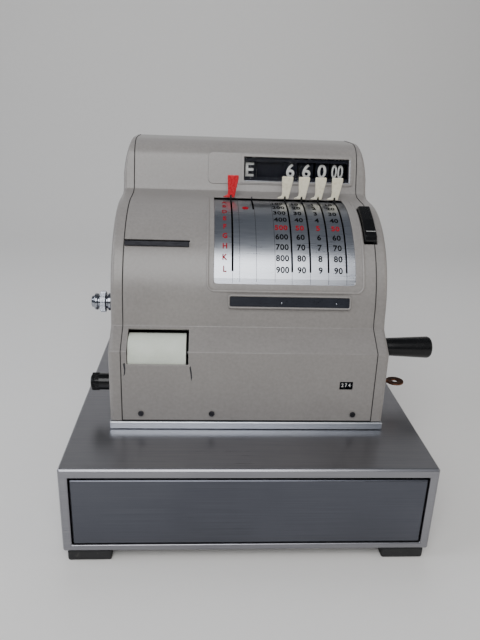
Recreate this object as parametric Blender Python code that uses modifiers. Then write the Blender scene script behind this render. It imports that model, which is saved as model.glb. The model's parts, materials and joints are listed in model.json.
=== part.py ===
"""A lever-set cash register with a hand crank, standing on its drawer cabinet.

Sizes are in metres. X runs across the machine (the crank is at +X), Y runs from the drawer's
front to the back, and Z is up. Coordinates below are measured from the middle of the cabinet's
front edge at table level. The empty called register_origin then moves everything so that the
origin is under the middle of the whole object's box.
"""

import math

import bmesh
import bpy

# ---- Driving dimensions ----
GAP = 0.0004            # between pieces that touch or seat on each other
RUNNING_GAP = 0.0005    # round a shaft in its hole
SHEET = 0.002           # thickness of the pressed sheet covers

CABINET_WIDTH = 0.420
CABINET_DEPTH = 0.430
CABINET_TOP = 0.1227
CABINET_SHEET = 0.002
FOOT_HEIGHT = 0.014
FOOT_SIZE = (0.049, 0.052)
FOOT_SIDE_INSET = 0.0045
LIP_SIDE = 0.0105       # frame round the drawer opening
LIP_TOP = 0.0118
LIP_BOTTOM = 0.009
LIP_DEPTH = 0.012

DRAWER_FRONT_THICKNESS = 0.003
DRAWER_FRONT_RECESS = 0.0008
DRAWER_SIDE_GAP = 0.0014
DRAWER_TOP_GAP = 0.0027
TRAY_HEIGHT = 0.072
TRAY_SHEET = 0.0015
TRAY_REAR_GAP = 0.036
COIN_TRAY_DEPTH = 0.300
COIN_TRAY_HEIGHT = 0.060
COIN_CUPS = 6
NOTE_PLACES = 4
TRAY_WALL = 0.003
CUP_LENGTH = 0.066

MACHINE_WIDTH = 0.331
MACHINE_REAR = 0.415
COVER_THICKNESS = 0.0145
COVER_ROUNDING = 0.0045
COVER_RIM = 0.005
COVER_FACE = 0.0028
PLINTH_HEIGHT = 0.010
PLINTH_TOP = CABINET_TOP + PLINTH_HEIGHT  # heights on the machine are counted from here

CASING_RADIUS = 0.122
PIVOT = (0.243, PLINTH_TOP + 0.1213)      # lever shaft (Y, Z): the centre of the curved front
FRONT_STEP = 0.034                        # the lower front stands this far before the curve
FRONT_LEAN = 0.002
LEDGE_BOTTOM = PLINTH_TOP + 0.0893        # where the front face turns into the sloping ledge
LEDGE_TOP = PLINTH_TOP + 0.1103
HEAD_HEIGHT = 0.069                       # indicator housing above the curve's crest
HEAD_FACE_BOTTOM = (0.0335, 0.012)        # behind the lever shaft, and above the crest
HEAD_FACE_TOP = (0.0465, 0.056)
HEAD_BROW_END = 0.079
HEAD_REAR_ROUNDING = 0.040
SHOULDER_DROP = 0.045                     # the covers draw in over this height below the top
SHOULDER_DEPTH = 0.009

ROW_STEP = 7.0                            # degrees between two numbers on the keyplate
ROWS = 9
REST_ANGLE = 91.0                         # a lever at nought, measured up from the front
KEYPLATE_LEFT = -0.044
KEYPLATE_RIGHT = 0.126
KEYPLATE_THICKNESS = 0.0014
KEYPLATE_START = 19.3                     # degrees, lower edge of the opening
KEYPLATE_END = 93.2
TOP_SLIT_END = 94.4                       # the opening runs on behind the plate as a dark slit
SLOT_WIDTH = 0.0022
LETTER_SLOT = -0.022
VALUE_SLOTS = (0.0495, 0.0716, 0.0936, 0.1156)
FUNCTION_SLOT = 0.0056
FUNCTION_TRAVEL = 16.0
TAB_WIDTH = 0.0145
TAB_HEIGHT = 0.029
TAB_LIFT = 0.0012
TAB_OFFSET = 0.0024                       # the tab stands to the right of its slot
SECTOR_THICKNESS = 0.0014
SECTOR_RADIUS = 0.092
FAN_START = 112                           # degrees, first notch of a setting sector
SHAFT_RADIUS = 0.005

FRAME_THICKNESS = 0.003
FRAME_OFFSET = 0.0025                     # frame plate to the seam of the casing
FRAME_INSET = 0.011                       # frame outline inside the casing outline

DRUM_CENTRES = (0.005, 0.0615, 0.0840, 0.1055, 0.1270)
DRUM_WIDTH = 0.0185
DRUM_RADIUS = 0.0325
DRUM_SHAFT_RADIUS = 0.004
WINDOW_LEFT = -0.0035
WINDOW_RIGHT = 0.1405
WINDOW_HEIGHT = 0.0316
BEZEL_MARGIN = 0.0040
BEZEL_PROUD = 0.0012

TALLY_LEFT = -0.0257
TALLY_RIGHT = 0.1195
TALLY_HEIGHT = 0.0137
TALLY_ANGLE = 9.6
TEAR_BAR_RIGHT = -0.073
TEAR_ANGLE = 43.2
TEAR_SLIT = 0.0022
ROLL_RIGHT = -0.0725
ROLL_LEFT = -0.144
ROLL_OPENING = (PLINTH_TOP + 0.0733, PLINTH_TOP + 0.1078)
ROLL_RADIUS = 0.0238
SPINDLE_RADIUS = 0.003
COUNTER_WINDOW = (0.1088, 0.1247, PLINTH_TOP + 0.0430, PLINTH_TOP + 0.0532)
COUNTER_RADIUS = 0.011
SCREW_PLACES = (("case_screw_left", -0.1286), ("case_screw_middle", -0.0442), ("case_screw_right", 0.1275))
SCREW_HEIGHT = PLINTH_TOP + 0.0106

KEY_WIDTH = 0.0150
KEY_MIDDLE = -0.0045                      # from the seam
KEY_ANGLES = (45.5, 75.5)
KEY_PROUD = 0.0065
KEY_TRAVEL = 0.0035
LOCK_RADIUS = 0.0075

CRANK_SHAFT_RADIUS = 0.006
MAIN_SHAFT_RADIUS = 0.005
CRANK_ARM_GAP = 0.0065
CRANK_ARM_THICKNESS = 0.008
GRIP_LENGTH = 0.074
GRIP_RADIUS = 0.015
GRIP_NECK_RADIUS = 0.012
GRIP_PIN_RADIUS = 0.004
GEAR_TEETH = 20
GEAR_MODULE = 0.003
GEAR_THICKNESS = 0.006
GEAR_ANGLE = -50.0                        # direction from the crank shaft to the main shaft

# ---- Values worked out from them ----
SEAM = MACHINE_WIDTH / 2 - COVER_THICKNESS
SIDE = MACHINE_WIDTH / 2
CREST = PIVOT[1] + CASING_RADIUS
CURVE_FRONT = PIVOT[0] - CASING_RADIUS
FRONT_FOOT_Y = CURVE_FRONT - FRONT_STEP
PLINTH_FRONT = FRONT_FOOT_Y - 0.0024
TOTAL_HEIGHT = CREST + HEAD_HEIGHT
CASING_BOTTOM = PLINTH_TOP + GAP
FRAME_OUTER = SEAM - FRAME_OFFSET
SHAFT_END = SEAM - GAP
ARM_INNER = SIDE + CRANK_ARM_GAP
ARM_OUTER = ARM_INNER + CRANK_ARM_THICKNESS
GRIP_INNER = ARM_OUTER + 0.0035
GRIP_OUTER = GRIP_INNER + GRIP_LENGTH
GEAR_INNER = SEAM + 0.0005
HEAD_BOTTOM_Y = PIVOT[0] + HEAD_FACE_BOTTOM[0]
KEY_LEFT = SEAM + KEY_MIDDLE - KEY_WIDTH / 2
KEY_RIGHT = KEY_LEFT + KEY_WIDTH
LEAN = math.atan2(HEAD_FACE_TOP[0] - HEAD_FACE_BOTTOM[0], HEAD_FACE_TOP[1] - HEAD_FACE_BOTTOM[1])

# Axes of the shafts, as (Y, Z)
DRUM_AXIS = (PIVOT[0] + 0.0845, CREST + 0.0330)
WINDOW_MIDDLE = CREST + 0.0347
ROLL_AXIS = (FRONT_FOOT_Y + 0.0270, PLINTH_TOP + 0.0780)
COUNTER_AXIS = (FRONT_FOOT_Y + 0.0165, PLINTH_TOP + 0.0481)
FEED_AXIS = (FRONT_FOOT_Y + 0.043, PLINTH_TOP + 0.0313)
LOCK_AXIS = (FRONT_FOOT_Y + 0.063, PLINTH_TOP + 0.0253)
FRONT_ROD_AXIS = (FRONT_FOOT_Y + 0.017, PLINTH_TOP + 0.0173)
TOTALS_AXIS = (CURVE_FRONT + 0.029, PIVOT[1] + 0.008)
CRANK_AXIS = (PIVOT[0] + 0.027, PIVOT[1] - 0.009)
GRIP_REST = (CRANK_AXIS[0] - 0.070, CRANK_AXIS[1] - 0.059)
GEAR_DISTANCE = GEAR_TEETH * GEAR_MODULE
MAIN_AXIS = (CRANK_AXIS[0] + GEAR_DISTANCE * math.cos(math.radians(GEAR_ANGLE)),
             CRANK_AXIS[1] + GEAR_DISTANCE * math.sin(math.radians(GEAR_ANGLE)))
OPENING_LOW = FOOT_HEIGHT + LIP_BOTTOM
OPENING_HIGH = CABINET_TOP - LIP_TOP
OPENING_HALF = CABINET_WIDTH / 2 - LIP_SIDE
ORIGIN_SHIFT = (-(GRIP_OUTER - CABINET_WIDTH / 2) / 2, -CABINET_DEPTH / 2, 0)


def clear_scene():
    for old in list(bpy.data.objects):
        bpy.data.objects.remove(old, do_unlink=True)


def new_collection(name, helper=False):
    collection = bpy.data.collections.new(name)
    bpy.context.scene.collection.children.link(collection)
    collection.hide_render = helper
    return collection


def new_material(name, colour, roughness, metallic=0.0, alpha=1.0):
    material = bpy.data.materials.new(name)
    material.use_nodes = True
    shader = material.node_tree.nodes["Principled BSDF"]
    shader.inputs["Base Color"].default_value = (*colour, 1.0)
    shader.inputs["Roughness"].default_value = roughness
    shader.inputs["Metallic"].default_value = metallic
    shader.inputs["Alpha"].default_value = alpha
    material.diffuse_color = (*colour, 1.0)
    return material


clear_scene()
PARTS = new_collection("crank_cash_register")
CUTTERS = new_collection("cutters", helper=True)
ORIGIN = bpy.data.objects.new("register_origin", None)
ORIGIN.location = ORIGIN_SHIFT
PARTS.objects.link(ORIGIN)

STEEL = new_material("brushed_steel", (0.42, 0.42, 0.44), 0.38, 1.0)
ALUMINIUM = new_material("satin_aluminium", (0.75, 0.76, 0.79), 0.32, 1.0)
ENAMEL = new_material("grey_enamel", (0.33, 0.29, 0.25), 0.42)
RUBBER = new_material("black_rubber", (0.02, 0.02, 0.022), 0.8)
BLACK = new_material("black_plastic", (0.012, 0.012, 0.014), 0.2)
WHITE = new_material("ivory_plastic", (0.80, 0.82, 0.70), 0.35)
RED = new_material("red_plastic", (0.65, 0.01, 0.02), 0.35)
NAVY = new_material("drum_enamel", (0.012, 0.014, 0.045), 0.45)
CHROME = new_material("chrome", (0.6, 0.61, 0.63), 0.12, 1.0)
BRASS = new_material("brown_brass", (0.35, 0.17, 0.09), 0.4, 1.0)
PAPER = new_material("paper", (0.74, 0.78, 0.68), 0.85)
GLASS = new_material("glass", (0.8, 0.85, 0.9), 0.05, 0.0, 0.35)
MACHINED = new_material("machined_steel", (0.5, 0.5, 0.5), 0.3, 1.0)


# ---- Making and joining shapes ----
def add_object(name, data, material=None, origin=(0, 0, 0), rotation=(0, 0, 0)):
    """A part when it has a material, and otherwise a cutter."""
    obj = bpy.data.objects.new(name, data)
    obj.parent = ORIGIN
    obj.location = origin
    obj.rotation_euler = rotation
    if material is None:
        CUTTERS.objects.link(obj)
        obj.hide_render = True
        obj.display_type = "WIRE"
    else:
        PARTS.objects.link(obj)
        data.materials.append(material)
    return obj


def add_box(name, low, high, material=None, origin=(0, 0, 0), rotation=(0, 0, 0), bevel=0.0):
    """A box between two corners, which are given relative to its origin."""
    mesh = bpy.data.meshes.new(name)
    shape = bmesh.new()
    bmesh.ops.create_cube(shape, size=1.0)
    for vertex in shape.verts:
        for axis in range(3):
            middle = (low[axis] + high[axis]) / 2
            vertex.co[axis] = middle + vertex.co[axis] * (high[axis] - low[axis])
    shape.to_mesh(mesh)
    shape.free()
    obj = add_object(name, mesh, material, origin, rotation)
    if bevel:
        round_edges(obj, bevel)
    return obj


def round_edges(obj, width, segments=2):
    modifier = obj.modifiers.new("rounded_edges", "BEVEL")
    modifier.width = width
    modifier.segments = segments
    modifier.limit_method = "ANGLE"


def add_rod(name, x_low, x_high, radius, axis, material=None, sides=12):
    """A round bar along X, with its origin on its own axis."""
    mesh = bpy.data.meshes.new(name)
    shape = bmesh.new()
    bmesh.ops.create_cone(shape, cap_ends=True, segments=sides, radius1=radius, radius2=radius,
                          depth=x_high - x_low)
    shape.to_mesh(mesh)
    shape.free()
    shade_round(mesh)
    middle = (x_low + x_high) / 2
    return add_object(name, mesh, material, (middle, *axis), (0, math.pi / 2, 0))


def shade_round(mesh):
    mesh.shade_smooth()
    mesh.set_sharp_from_angle(angle=math.radians(35))


def add_turned(name, profile, axis, material=None, steps=24, x=0.0, closed=False):
    """A profile of (X, radius) points turned about an axis along X, from its +X end."""
    shape = bmesh.new()
    points = [shape.verts.new((radius, 0, along)) for along, radius in profile]
    for start, end in zip(points, points[1:]):
        shape.edges.new((start, end))
    if closed:
        shape.edges.new((points[-1], points[0]))
    mesh = bpy.data.meshes.new(name)
    shape.to_mesh(mesh)
    shape.free()
    obj = add_object(name, mesh, material, (x, *axis), (0, math.pi / 2, 0))
    screw = obj.modifiers.new("turned", "SCREW")
    screw.steps = steps
    screw.render_steps = steps
    screw.use_merge_vertices = True
    screw.merge_threshold = 0.00001
    screw.use_smooth_shade = False
    return obj


def add_plate(name, loops, x_low, x_high, material=None, origin=(0, 0, 0), plane="YZ"):
    """A flat outline, with any holes, given thickness: YZ outlines along X, XZ ones along Y."""
    curve = bpy.data.curves.new(name, "CURVE")
    curve.dimensions = "2D"
    curve.fill_mode = "BOTH"
    curve.extrude = (x_high - x_low) / 2
    for loop in loops:
        spline = curve.splines.new("POLY")
        spline.points.add(len(loop) - 1)
        for point, (u, v) in zip(spline.points, loop):
            point.co = (u, v, 0, 1)
        spline.use_cyclic_u = True
    middle = (x_low + x_high) / 2
    if plane == "YZ":
        rotation = (math.pi / 2, 0, math.pi / 2)
        place = (origin[0] + middle, origin[1], origin[2])
    else:
        rotation = (math.pi / 2, 0, 0)
        place = (origin[0], origin[1] + middle, origin[2])
    outline = bpy.data.objects.new(name + "_outline", curve)
    bpy.context.scene.collection.objects.link(outline)
    evaluated = outline.evaluated_get(bpy.context.evaluated_depsgraph_get())
    mesh = bpy.data.meshes.new_from_object(evaluated)
    bpy.data.objects.remove(outline)
    bpy.data.curves.remove(curve)
    mesh.name = name
    shape = bmesh.new()
    shape.from_mesh(mesh)
    bmesh.ops.remove_doubles(shape, verts=shape.verts, dist=0.000001)
    bmesh.ops.recalc_face_normals(shape, faces=shape.faces)
    shape.to_mesh(mesh)
    shape.free()
    shade_round(mesh)
    return add_object(name, mesh, material, place, rotation)


def add_boolean(obj, operation, others):
    for other in others:
        modifier = obj.modifiers.new(other.name, "BOOLEAN")
        modifier.operation = operation
        modifier.object = other
        modifier.solver = "EXACT"


def cut(obj, *cutters):
    add_boolean(obj, "DIFFERENCE", cutters)


def join(obj, *pieces):
    add_boolean(obj, "UNION", pieces)


# ---- Outlines in the YZ plane ----
def on_arc(radius, angle, centre=PIVOT):
    """Point on the curved front: the angle is measured up from the front."""
    turn = math.radians(angle)
    return (centre[0] - radius * math.cos(turn), centre[1] + radius * math.sin(turn))


def arc(radius, start, end, steps, centre=PIVOT):
    return [on_arc(radius, start + (end - start) * i / steps, centre) for i in range(steps + 1)]


def circle(radius, centre=(0, 0), sides=12):
    return arc(radius, 0, 360 * (sides - 1) / sides, sides - 1, centre)


def curve_between(start, corner, end, steps):
    """Points of the smooth curve that a corner is rounded into."""
    points = []
    for i in range(steps + 1):
        t = i / steps
        points.append(tuple(
            (1 - t) ** 2 * a + 2 * t * (1 - t) * b + t * t * c for a, b, c in zip(start, corner, end)
        ))
    return points


def front_profile():
    """The casing's outside from its lower front edge over the top to the back."""
    face, face_top = HEAD_BOTTOM_Y, PIVOT[0] + HEAD_FACE_TOP[0]
    head_top = (face_top - 0.0035, CREST + HEAD_FACE_TOP[1] - 0.0115)
    brow = (face_top + 0.0035, TOTAL_HEIGHT - 0.001)
    back = MACHINE_REAR - HEAD_REAR_ROUNDING
    rear_centre = (back, TOTAL_HEIGHT - HEAD_REAR_ROUNDING)
    return [
        (FRONT_FOOT_Y, CASING_BOTTOM),
        (FRONT_FOOT_Y + FRONT_LEAN, LEDGE_BOTTOM),
        (CURVE_FRONT - 0.002, LEDGE_TOP),
        *arc(CASING_RADIUS, 0, 90, 16),
        (face - 0.0125, CREST + 0.002),
        (face - 0.0035, CREST + 0.0055),
        (face, CREST + HEAD_FACE_BOTTOM[1]),
        *curve_between(head_top, brow, (PIVOT[0] + HEAD_BROW_END, TOTAL_HEIGHT), 5),
        *arc(HEAD_REAR_ROUNDING, 90, 180, 5, rear_centre),
    ]


def closed_profile():
    return [*front_profile(), (MACHINE_REAR, CASING_BOTTOM)]


def inset(outline, distance):
    """The closed outline moved inwards by a distance, with sharp corners kept sharp."""
    moved = []
    count = len(outline)
    for i, point in enumerate(outline):
        before, after = outline[i - 1], outline[(i + 1) % count]
        normals = []
        for start, end in ((before, point), (point, after)):
            along, up = end[0] - start[0], end[1] - start[1]
            length = math.hypot(along, up)
            normals.append((up / length, -along / length))
        (a, b), (c, d) = normals
        scale = distance / (1 + a * c + b * d)
        moved.append((point[0] + (a + c) * scale, point[1] + (b + d) * scale))
    return moved


def add_shell(name, profile, x_low, x_high, thickness, material):
    """A bent sheet: an open profile drawn along X, thickened inwards."""
    shape = bmesh.new()
    rows = [[shape.verts.new((x, y, z)) for y, z in profile] for x in (x_low, x_high)]
    for i in range(len(profile) - 1):
        shape.faces.new((rows[0][i], rows[0][i + 1], rows[1][i + 1], rows[1][i]))
    bmesh.ops.recalc_face_normals(shape, faces=shape.faces)
    mesh = bpy.data.meshes.new(name)
    shape.to_mesh(mesh)
    shape.free()
    shade_round(mesh)
    obj = add_object(name, mesh, material)
    solidify = obj.modifiers.new("sheet", "SOLIDIFY")
    solidify.thickness = thickness
    solidify.offset = -1
    solidify.use_even_offset = True
    return obj


def add_lofted(name, sections, material=None):
    """A closed body through outlines of equal length, each given with its X."""
    shape = bmesh.new()
    rings = [[shape.verts.new((x, y, z)) for y, z in outline] for x, outline in sections]
    count = len(rings[0])
    for ring, following in zip(rings, rings[1:]):
        for i in range(count):
            j = (i + 1) % count
            shape.faces.new((ring[i], ring[j], following[j], following[i]))
    shape.faces.new(rings[0])
    shape.faces.new(rings[-1])
    bmesh.ops.recalc_face_normals(shape, faces=shape.faces)
    mesh = bpy.data.meshes.new(name)
    shape.to_mesh(mesh)
    shape.free()
    shade_round(mesh)
    return add_object(name, mesh, material)


# ---- Drawer cabinet ----
def make_cabinet():
    half = CABINET_WIDTH / 2
    cabinet = add_box("drawer_cabinet", (-half, 0, FOOT_HEIGHT), (half, CABINET_DEPTH, CABINET_TOP),
                      STEEL, bevel=0.0025)
    opening = add_box("drawer_opening", (-OPENING_HALF, -0.01, OPENING_LOW),
                      (OPENING_HALF, LIP_DEPTH + 0.01, OPENING_HIGH))
    inside = add_box("cabinet_inside", (CABINET_SHEET - half, LIP_DEPTH, FOOT_HEIGHT + CABINET_SHEET),
                     (half - CABINET_SHEET, CABINET_DEPTH - CABINET_SHEET, CABINET_TOP - CABINET_SHEET))
    cut(cabinet, opening, inside)
    # Two ears hang from the roof and carry the latch's pin.
    for side in (-1, 1):
        low, high = sorted((side * 0.0075, side * 0.0105))
        ear = add_box(f"latch_ear_{side}", (low, LATCH_AXIS[0] - 0.007, LATCH_AXIS[1] - 0.006),
                      (high, LATCH_AXIS[0] + 0.007, CABINET_TOP - CABINET_SHEET / 2))
        join(cabinet, ear)
    cut(cabinet, add_rod("latch_pin_hole", -0.02, 0.02, 0.0025 + RUNNING_GAP, LATCH_AXIS))


def make_feet():
    half = CABINET_WIDTH / 2 - FOOT_SIDE_INSET
    for side, x in (("left", -half), ("right", half - FOOT_SIZE[0])):
        for place, y in (("front", 0.002), ("rear", CABINET_DEPTH - FOOT_SIZE[1] - 0.006)):
            add_box(f"foot_{place}_{side}", (x, y, 0),
                    (x + FOOT_SIZE[0], y + FOOT_SIZE[1], FOOT_HEIGHT - GAP), RUBBER, bevel=0.002)


TRAY_FRONT = DRAWER_FRONT_RECESS + DRAWER_FRONT_THICKNESS + GAP
TRAY_REAR = CABINET_DEPTH - TRAY_REAR_GAP
TRAY_HALF = OPENING_HALF - DRAWER_SIDE_GAP - 0.0025
TRAY_BOTTOM = OPENING_LOW + 0.0006
TRAY_TOP = TRAY_BOTTOM + TRAY_HEIGHT
LATCH_AXIS = (TRAY_REAR + 0.020, TRAY_TOP + 0.013)


def make_drawer():
    half = OPENING_HALF - DRAWER_SIDE_GAP
    add_box("drawer_front", (-half, DRAWER_FRONT_RECESS, OPENING_LOW + DRAWER_SIDE_GAP),
            (half, DRAWER_FRONT_RECESS + DRAWER_FRONT_THICKNESS, OPENING_HIGH - DRAWER_TOP_GAP),
            STEEL, bevel=0.0010)
    low, high = (-TRAY_HALF, TRAY_FRONT, TRAY_BOTTOM), (TRAY_HALF, TRAY_REAR, TRAY_TOP)
    tray = add_box("drawer_tray", low, high, STEEL)
    inside_low = [value + TRAY_SHEET for value in low]
    inside_high = (high[0] - TRAY_SHEET, high[1] - TRAY_SHEET, high[2] + 0.01)
    cut(tray, add_box("tray_inside", inside_low, inside_high))
    make_coin_tray()


def make_coin_tray():
    """A moulded insert with a row of scooped coin cups and deeper places for notes behind."""
    half = TRAY_HALF - TRAY_SHEET - 0.0008
    front = TRAY_FRONT + TRAY_SHEET + 0.0008
    bottom = TRAY_BOTTOM + TRAY_SHEET + GAP
    top = bottom + COIN_TRAY_HEIGHT
    tray = add_box("coin_tray", (-half, front, bottom), (half, front + COIN_TRAY_DEPTH, top), BLACK)
    cup_width = (2 * half - TRAY_WALL * (COIN_CUPS + 1)) / COIN_CUPS
    scoop = CUP_LENGTH / 2
    middle = (front + TRAY_WALL + scoop, top - 0.006)
    outline = [(middle[0] + scoop, top + 0.01), (middle[0] - scoop, top + 0.01),
               *arc(scoop, 0, -180, 7, middle)]
    for i in range(COIN_CUPS):
        left = -half + TRAY_WALL + i * (cup_width + TRAY_WALL)
        cut(tray, add_plate(f"coin_cup_{i + 1}", [outline], left, left + cup_width))
    note_width = (2 * half - TRAY_WALL * (NOTE_PLACES + 1)) / NOTE_PLACES
    for i in range(NOTE_PLACES):
        left = -half + TRAY_WALL + i * (note_width + TRAY_WALL)
        cut(tray, add_box(f"note_place_{i + 1}",
                          (left, front + 2 * TRAY_WALL + CUP_LENGTH, bottom + TRAY_WALL),
                          (left + note_width, front + COIN_TRAY_DEPTH - TRAY_WALL, top + 0.01)))


def make_latch():
    """A hook that drops in front of the tray's rear wall. It rests lifted just clear of it."""
    nose = TRAY_REAR - TRAY_SHEET - 0.0025 - LATCH_AXIS[0]
    under = TRAY_TOP + 0.0007 - LATCH_AXIS[1]
    hook = [(0.004, -0.004), (0.004, 0.004), (nose - 0.006, 0.004), (nose - 0.006, under), (nose, under),
            (nose, -0.004)]
    latch = add_plate("drawer_latch", [hook], -0.0065, 0.0065, MACHINED, (0, *LATCH_AXIS))
    join(latch, add_rod("latch_pin", -0.0115, 0.0115, 0.0025, LATCH_AXIS))


# ---- Machine frame and covers ----
def shaft_holes(*places):
    return [circle(radius + RUNNING_GAP, place) for radius, place in places]


def make_base_and_frames():
    add_box("base_plate", (-SIDE, PLINTH_FRONT, CABINET_TOP + GAP),
            (SIDE, MACHINE_REAR + 0.001, PLINTH_TOP), ALUMINIUM, bevel=0.001)
    outline = inset(closed_profile(), FRAME_INSET)
    outline[0] = (outline[0][0], CASING_BOTTOM)
    outline[-1] = (outline[-1][0], CASING_BOTTOM)
    both = ((SHAFT_RADIUS, PIVOT), (DRUM_SHAFT_RADIUS, DRUM_AXIS), (MAIN_SHAFT_RADIUS, MAIN_AXIS),
            (SPINDLE_RADIUS, TOTALS_AXIS), (DRUM_SHAFT_RADIUS, FRONT_ROD_AXIS))
    left = (*both, (SPINDLE_RADIUS, FEED_AXIS), (SPINDLE_RADIUS, ROLL_AXIS))
    right = (*both, (CRANK_SHAFT_RADIUS, CRANK_AXIS), (SPINDLE_RADIUS, COUNTER_AXIS))
    for name, outer, holes in (("frame_left", -FRAME_OUTER, left),
                               ("frame_right", FRAME_OUTER - FRAME_THICKNESS, right)):
        add_plate(name, [outline, *shaft_holes(*holes)], outer, outer + FRAME_THICKNESS, MACHINED)


def make_shafts():
    add_rod("lever_shaft", -SHAFT_END, SHAFT_END, SHAFT_RADIUS, PIVOT, MACHINED)
    add_rod("drum_shaft", -SHAFT_END, SHAFT_END, DRUM_SHAFT_RADIUS, DRUM_AXIS, MACHINED)
    add_rod("tie_rod_front", -SHAFT_END, SHAFT_END, DRUM_SHAFT_RADIUS, FRONT_ROD_AXIS, MACHINED)


def sector_cutter(name, x_low, x_high, start, end, inner, outer):
    """A cutter over part of the curved front, between two angles."""
    steps = max(2, int((end - start) / 10))
    loop = [*arc(outer, start, end, steps), *arc(inner, end, start, steps)]
    return add_plate(name, [loop], x_low, x_high)


def make_front_casing():
    profile = front_profile()
    profile.append((MACHINE_REAR, TOTAL_HEIGHT - HEAD_REAR_ROUNDING - 0.010))
    half = SEAM - GAP / 2
    casing = add_shell("front_casing", profile, -half, half, SHEET, ENAMEL)
    inner, outer = CASING_RADIUS - 0.006, CASING_RADIUS + 0.006
    keyplate = sector_cutter("keyplate_opening", KEYPLATE_LEFT, KEYPLATE_RIGHT, KEYPLATE_START,
                             TOP_SLIT_END, inner, outer)
    slit = math.degrees(TEAR_SLIT / CASING_RADIUS)
    receipt = sector_cutter("receipt_slit", -SEAM - 0.01, TEAR_BAR_RIGHT, TEAR_ANGLE, TEAR_ANGLE + slit,
                            inner, outer)
    key = sector_cutter("release_key_opening", KEY_LEFT - 2 * GAP, SEAM + 0.01,
                        KEY_ANGLES[0] - 1.2, KEY_ANGLES[1] + 1.2, inner, outer)
    roll = add_box("roll_opening", (ROLL_LEFT, FRONT_FOOT_Y - 0.01, ROLL_OPENING[0]),
                   (ROLL_RIGHT, CURVE_FRONT - 0.0045, ROLL_OPENING[1]))
    left, right, low, high = COUNTER_WINDOW
    counter = add_box("counter_opening", (left, FRONT_FOOT_Y - 0.01, low),
                      (right, FRONT_FOOT_Y + 0.01, high))
    window = face_box("window_opening", WINDOW_LEFT, WINDOW_RIGHT, WINDOW_HEIGHT, -0.008, 0.008)
    cut(casing, keyplate, receipt, key, roll, counter, window)
    for name, x in SCREW_PLACES:
        cut(casing, screw_shape(name + "_hole", x, 0.0018 + GAP, -0.006, 0.006))


def face_box(name, left, right, height, low, high, material=None, bevel=0.0):
    """A box square to the head's leaning face, from low to high in front of it."""
    z = WINDOW_MIDDLE
    slope = math.tan(LEAN)
    y = HEAD_BOTTOM_Y + (z - CREST - HEAD_FACE_BOTTOM[1]) * slope
    return add_box(name, (left, -high, -height / 2), (right, -low, height / 2), material,
                   (0, y, z), (-LEAN, 0, 0), bevel)


def screw_shape(name, x, radius, low, high, material=None):
    """A round body square to the casing's lower front, from low to high in front of it."""
    mesh = bpy.data.meshes.new(name)
    shape = bmesh.new()
    bmesh.ops.create_cone(shape, cap_ends=True, segments=12, radius1=radius, radius2=radius,
                          depth=high - low)
    bmesh.ops.translate(shape, verts=shape.verts, vec=(0, 0, (low + high) / 2))
    shape.to_mesh(mesh)
    shape.free()
    return add_object(name, mesh, material, (x, FRONT_FOOT_Y, SCREW_HEIGHT), (math.pi / 2, 0, 0))


def make_case_screws():
    for name, x in SCREW_PLACES:
        screw = screw_shape(name, x, 0.0035, GAP, 0.0020, MACHINED)
        join(screw, screw_shape(name + "_thread", x, 0.0018, -0.007, 0.0010))
        slot = add_box(name + "_slot", (-0.005, -0.0032, -0.0005), (0.005, -0.0013, 0.0005),
                       origin=(x, FRONT_FOOT_Y, SCREW_HEIGHT), rotation=(0, 0.5, 0))
        cut(screw, slot)


def cover_sections(side):
    """Outlines from the seam outwards. Only the front, top and back edges are rounded."""
    profile = closed_profile()
    flat = SIDE - COVER_ROUNDING
    sections = [(side * (SEAM + GAP / 2), profile), (side * flat, profile)]
    for i in range(1, 4):
        turn = math.radians(90 * i / 3)
        drop = COVER_ROUNDING * (1 - math.cos(turn))
        sections.append((side * (flat + COVER_ROUNDING * math.sin(turn)), on_base(inset(profile, drop))))
    return sections


def on_base(outline, lift=0.0):
    """The outline with its two lower corners put back on the level it stands on."""
    first, last = outline[0], outline[-1]
    return [(first[0], CASING_BOTTOM + lift), *outline[1:-1], (last[0], CASING_BOTTOM + lift)]


def draw_in_shoulder(obj, side):
    """The covers draw in towards the seam as they rise to the top of the head."""
    shape = bmesh.new()
    shape.from_mesh(obj.data)
    start = TOTAL_HEIGHT - SHOULDER_DROP
    for share in (0.0, 0.3, 0.55, 0.8):
        everything = [*shape.verts, *shape.edges, *shape.faces]
        bmesh.ops.bisect_plane(shape, geom=everything, plane_co=(0, 0, start + share * SHOULDER_DROP),
                               plane_no=(0, 0, 1), dist=0.00001)
    bmesh.ops.triangulate(shape, faces=shape.faces)
    for vertex in shape.verts:
        rise = max(0.0, (vertex.co.z - start) / SHOULDER_DROP)
        width = 1 - SHOULDER_DEPTH / COVER_THICKNESS * rise ** 1.5
        vertex.co.x = side * (SEAM + (abs(vertex.co.x) - SEAM) * width)
    shape.to_mesh(obj.data)
    shape.free()
    shade_round(obj.data)


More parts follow.
